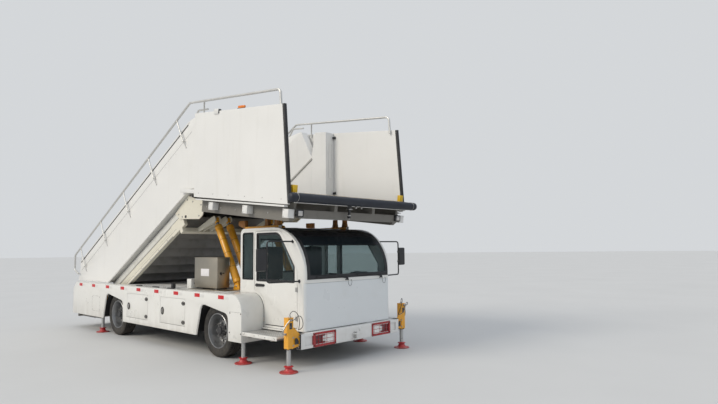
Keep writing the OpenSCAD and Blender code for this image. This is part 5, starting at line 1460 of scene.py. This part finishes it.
for s in (1, -1):
    for x in (-0.84, -0.52, -0.19):
        p.bolt(x, s * 1.3, 0.4425, "Y", 0.007, 0.004, s)
p.look("body_white")
for k in range(9):
    p.box((-0.86, -0.947 - k * 0.04, 0.4545), (-0.175, -0.935 - k * 0.04, 0.458), 0.0012)
p.done("chassis", "step_boards")
p = Piece("locker_tubs").look("body_white").solid("locker_boxes", 0.0015)
for s in (-1, 1):
    for x in LOCKERS:
        p.look("body_white")
        for k in range(4):
            p.box((x - 0.74 + k * 0.2, s * 0.8925, 0.43), (x - 0.7 + k * 0.2, s * 0.8985, 0.81), 0.002)
        p.look("black_rubber").box((x - 0.8, s * 0.9, 0.3995), (x - 0.02, s * 1.28, 0.404), 0.001)
p.done("chassis", "locker_boxes")

# Engine: ribbed block and sump, bell housing, filter, drive shaft joints
p = Piece("engine_block").look("axle_black").solid("engine", 0.006)
p.prism(rounded([(-0.23, 0.402, 0.01), (0.23, 0.402, 0.01), (0.19, 0.352, 0.03), (-0.19, 0.352, 0.03)], 4),
    -3.22, -2.68, 0.006, axis="X")
for k in range(7):
    p.box((-3.14 + k * 0.065, -0.165, 0.344), (-3.125 + k * 0.065, 0.165, 0.354), 0.002)
for s in (-1, 1):
    for k in range(9):
        x = -3.4 + k * 0.1
        p.box((x, s * 0.323, 0.46), (x + 0.018, s * 0.333, 0.86), 0.003)
p.look("axle_black").lathe([(0.122, 0.0), (0.122, -0.012), (0.105, -0.018), (0.072, -0.045), (0.047, -0.086),
    (0.04, -0.09)], spot(-3.46, 0, 0.438, "X"), 36)
p.look("zinc").lathe([(0, -0.075), (0.036, -0.073), (0.04, -0.066), (0.04, 0)], spot(-2.86, 0.245, 0.402), 24)
shaft = Matrix.Translation((-4.94, 0, AXLE_Z)) @ Matrix.Rotation(-atan2(0.04, 1.48), 4, "Y")
for x in (0.06, 1.4):
    p.look("axle_black").lathe(doubled([(0.038, -0.04), (0.05, -0.036), (0.062, -0.03), (0.062, -0.02),
        (0.044, -0.014)]), shaft @ spot(x, 0, 0, "X"), 28)
    p.look("zinc")
    for a in range(4):
        p.lathe([(0.018, -0.052), (0.018, 0.052), (0.014, 0.056), (0, 0.056)],
            shaft @ Matrix.Translation((x, 0, 0)) @ Matrix.Rotation(a * pi / 2, 4, "X"), 16)
p.done("chassis", "engine")


# Axles: springs with U bolts and plates, shock absorbers, drums, cover
def u_bolt(p, x, low, high):
    """A bolt bent over the leaf spring."""
    p.look("zinc").tube(bend([(x, 0.338, low), (x, 0.338, high), (x, 0.427, high), (x, 0.427, low)], 0.014),
        0.007, 8)


p = Piece("front_axle_beam").look("axle_black").solid("front_axle", 0.003)
for x in (-1.69, -1.59):
    u_bolt(p, x, 0.332, 0.486)
    for y in (0.338, 0.427):
        p.bolt(x, y, 0.332, "Z", 0.012, 0.012, -1)
p.look("axle_black").box((-1.71, 0.328, 0.3325), (-1.57, 0.437, 0.3425), 0.002)
for k in (1, 2, 3, 4):
    p.look("seam_dark").box((-1.98 + k * 0.045, 0.3455, 0.498 - k * 0.004),
        (-1.3 - k * 0.045, 0.4195, 0.5 - k * 0.004), 0)
p.look("hub_black").lathe([(0.024, 0), (0.03, 0.004), (0.03, 0.13), (0.036, 0.136), (0.036, 0.25),
    (0.03, 0.256), (0, 0.256)], spot(-1.545, 0.5, 0.425) @ Matrix.Rotation(radians(5), 4, "X"), 24)
p.look("axle_black").box((-1.575, 0.419, 0.665), (-1.515, 0.5, 0.69), 0.003)
p.box((-1.6, 0.47, 0.385), (-1.53, 0.53, 0.4), 0.003)
p.look("zinc").lathe([(0.011, -0.05), (0.011, 0.01)], spot(-1.545, 0.5, 0.425), 12)
p.both().done("chassis", "front_axle")
p = Piece("rear_axle_tube").look("axle_black").solid("rear_axle", 0.0)
for x in (-5.075, -4.968):
    u_bolt(p, x, 0.335, 0.507)
p.look("axle_black").box((-5.1, 0.328, 0.326), (-4.95, 0.437, 0.337), 0.002)
p.box((-5.1, 0.335, 0.42), (-4.955, 0.43, 0.44), 0.003)
for y in (0.52, 0.66, 0.78):
    p.lathe(doubled([(0.0652, -0.012), (0.072, -0.01)]), spot(REAR_X, y, AXLE_Z, "Y"), 32)
p.look("hub_black").lathe([(0.064, -0.05), (0.15, -0.045), (0.162, -0.036), (0.162, 0.036), (0.15, 0.044),
    (0.064, 0.046)], spot(REAR_X, 0.86, AXLE_Z, "Y"), 44)
p.both()
p.look("axle_black").lathe([(0.115, -0.02), (0.145, -0.014), (0.15, 0.0), (0.13, 0.03), (0.08, 0.052),
    (0, 0.06)], spot(-5.215, 0, AXLE_Z, "X") @ Matrix.Rotation(pi, 4, "X"), 40)
p.look("zinc")
for a in turns(10):
    p.bolt(-5.215, 0.135 * cos(a), AXLE_Z + 0.135 * sin(a), "X", 0.009, 0.01, -1)
p.done("chassis", "rear_axle")
for name, side in SIDES:
    node = "knuckle_" + name
    p = Piece(node + "_detail").look("axle_black").solid(node, 0.002).near(side).look("zinc")
    for z, up in ((0.488, 1), (0.308, -1)):
        p.lathe([(0, 0.01), (0.022, 0.008), (0.026, 0)], spot(FRONT_X, 1.0, z) @ stretch(1, 1, up), 20)
    p.done(node, node, side=side)

# Cab inside: dashboard, steering wheel with its column
Piece("dashboard_body").look("cab_dark").solid("dashboard", 0.01).done("chassis", "dashboard")
column = Matrix.Translation((-0.42, 0.44, 1.15)) @ Matrix.Rotation(-radians(35), 4, "Y")
p = Piece("steering_wheel_rim").look("black_plastic").at(column)
p.tube([(0.185 * cos(a), 0.185 * sin(a), 0) for a in turns(64)], 0.014, 14, closed=True)
for a in (0, 120, 240):
    c, s = cos(radians(a)), sin(radians(a))
    p.tube([(0.03 * c, 0.03 * s, -0.004), (0.1 * c, 0.1 * s, -0.01), (0.178 * c, 0.178 * s, 0)], 0.012,
        12, flat=0.5)
p.lathe([(0, 0.014), (0.03, 0.012), (0.042, 0.004), (0.044, -0.012), (0.034, -0.024), (0.022, -0.03),
    (0.022, -0.288), (0.0, -0.288)], None, 36)
p.lathe([(0.022, -0.1), (0.034, -0.1), (0.036, -0.16), (0.03, -0.2), (0.022, -0.205)], None, 24)
for s in (-1, 1):
    p.tube(bend([(0, s * 0.03, -0.12), (0, s * 0.085, -0.105), (0, s * 0.13, -0.085)], 0.02), 0.0055, 8)
p.done("chassis", "steering_wheel")

# Stage: pale floor, plain world, soft lamps
floor_mat = Mat("floor_pale", (0.6, 0.6, 0.59), 0.7)
floor_mat.vary(0.4, 0.03).grain(60, 4, 0.08, 0.002)
bpy.ops.mesh.primitive_circle_add(vertices=96, radius=160, fill_type="NGON", location=(0, 0, -0.001))
floor = bpy.context.object
floor.name = "studio_floor"
floor.data.materials.append(floor_mat.mat)

world = bpy.data.worlds.new("studio")
scene.world = world
world.use_nodes = True
wt = world.node_tree
bg = wt.nodes["Background"]
bg.inputs["Color"].default_value = (0.8, 0.86, 0.95, 1)
bg.inputs["Strength"].default_value = 0.52
seen = wt.nodes.new("ShaderNodeBackground")
seen.inputs["Color"].default_value = (0.66, 0.68, 0.7, 1)
path = wt.nodes.new("ShaderNodeLightPath")
both = wt.nodes.new("ShaderNodeMixShader")
wt.links.new(path.outputs["Is Camera Ray"], both.inputs[0])
wt.links.new(bg.outputs[0], both.inputs[1])
wt.links.new(seen.outputs[0], both.inputs[2])
wt.links.new(both.outputs[0], wt.nodes["World Output"].inputs["Surface"])


def lamp(name, place, strength, spread, color):
    """A far soft lamp, so that the floor is lit evenly."""
    data = bpy.data.lights.new(name, "SUN")
    data.energy = strength
    data.angle = spread
    data.color = color
    o = bpy.data.objects.new(name, data)
    scene.collection.objects.link(o)
    o.location = place
    o.rotation_euler = (-Vector(place)).to_track_quat("-Z", "Y").to_euler()


lamp("key", (-4.5, -13.0, 9.0), 1.8, 0.5, (1.0, 0.93, 0.82))
lamp("fill", (11.0, 4.0, 8.0), 0.3, 1.2, (0.86, 0.92, 1.0))
lamp("top", (0.5, 1.0, 13.0), 0.75, 1.4, (0.97, 0.98, 1.0))

# Camera at the photograph's angle
cam_data = bpy.data.cameras.new("photo_camera")
cam_data.lens = 27.64
cam_data.sensor_width = 36
cam_data.clip_end = 300
camera = bpy.data.objects.new("photo_camera", cam_data)
scene.collection.objects.link(camera)
right, up, back = (0.7343, 0.6788, -0.0106), (0.0644, -0.0541, 0.9965), (0.6758, -0.7324, -0.0834)
pose = Matrix((right, up, back)).transposed().to_4x4()
pose.translation = (NOSE + 5.7513, -6.0261, 1.6309)
camera.matrix_world = pose
scene.camera = camera
scene.view_settings.view_transform = "Standard"
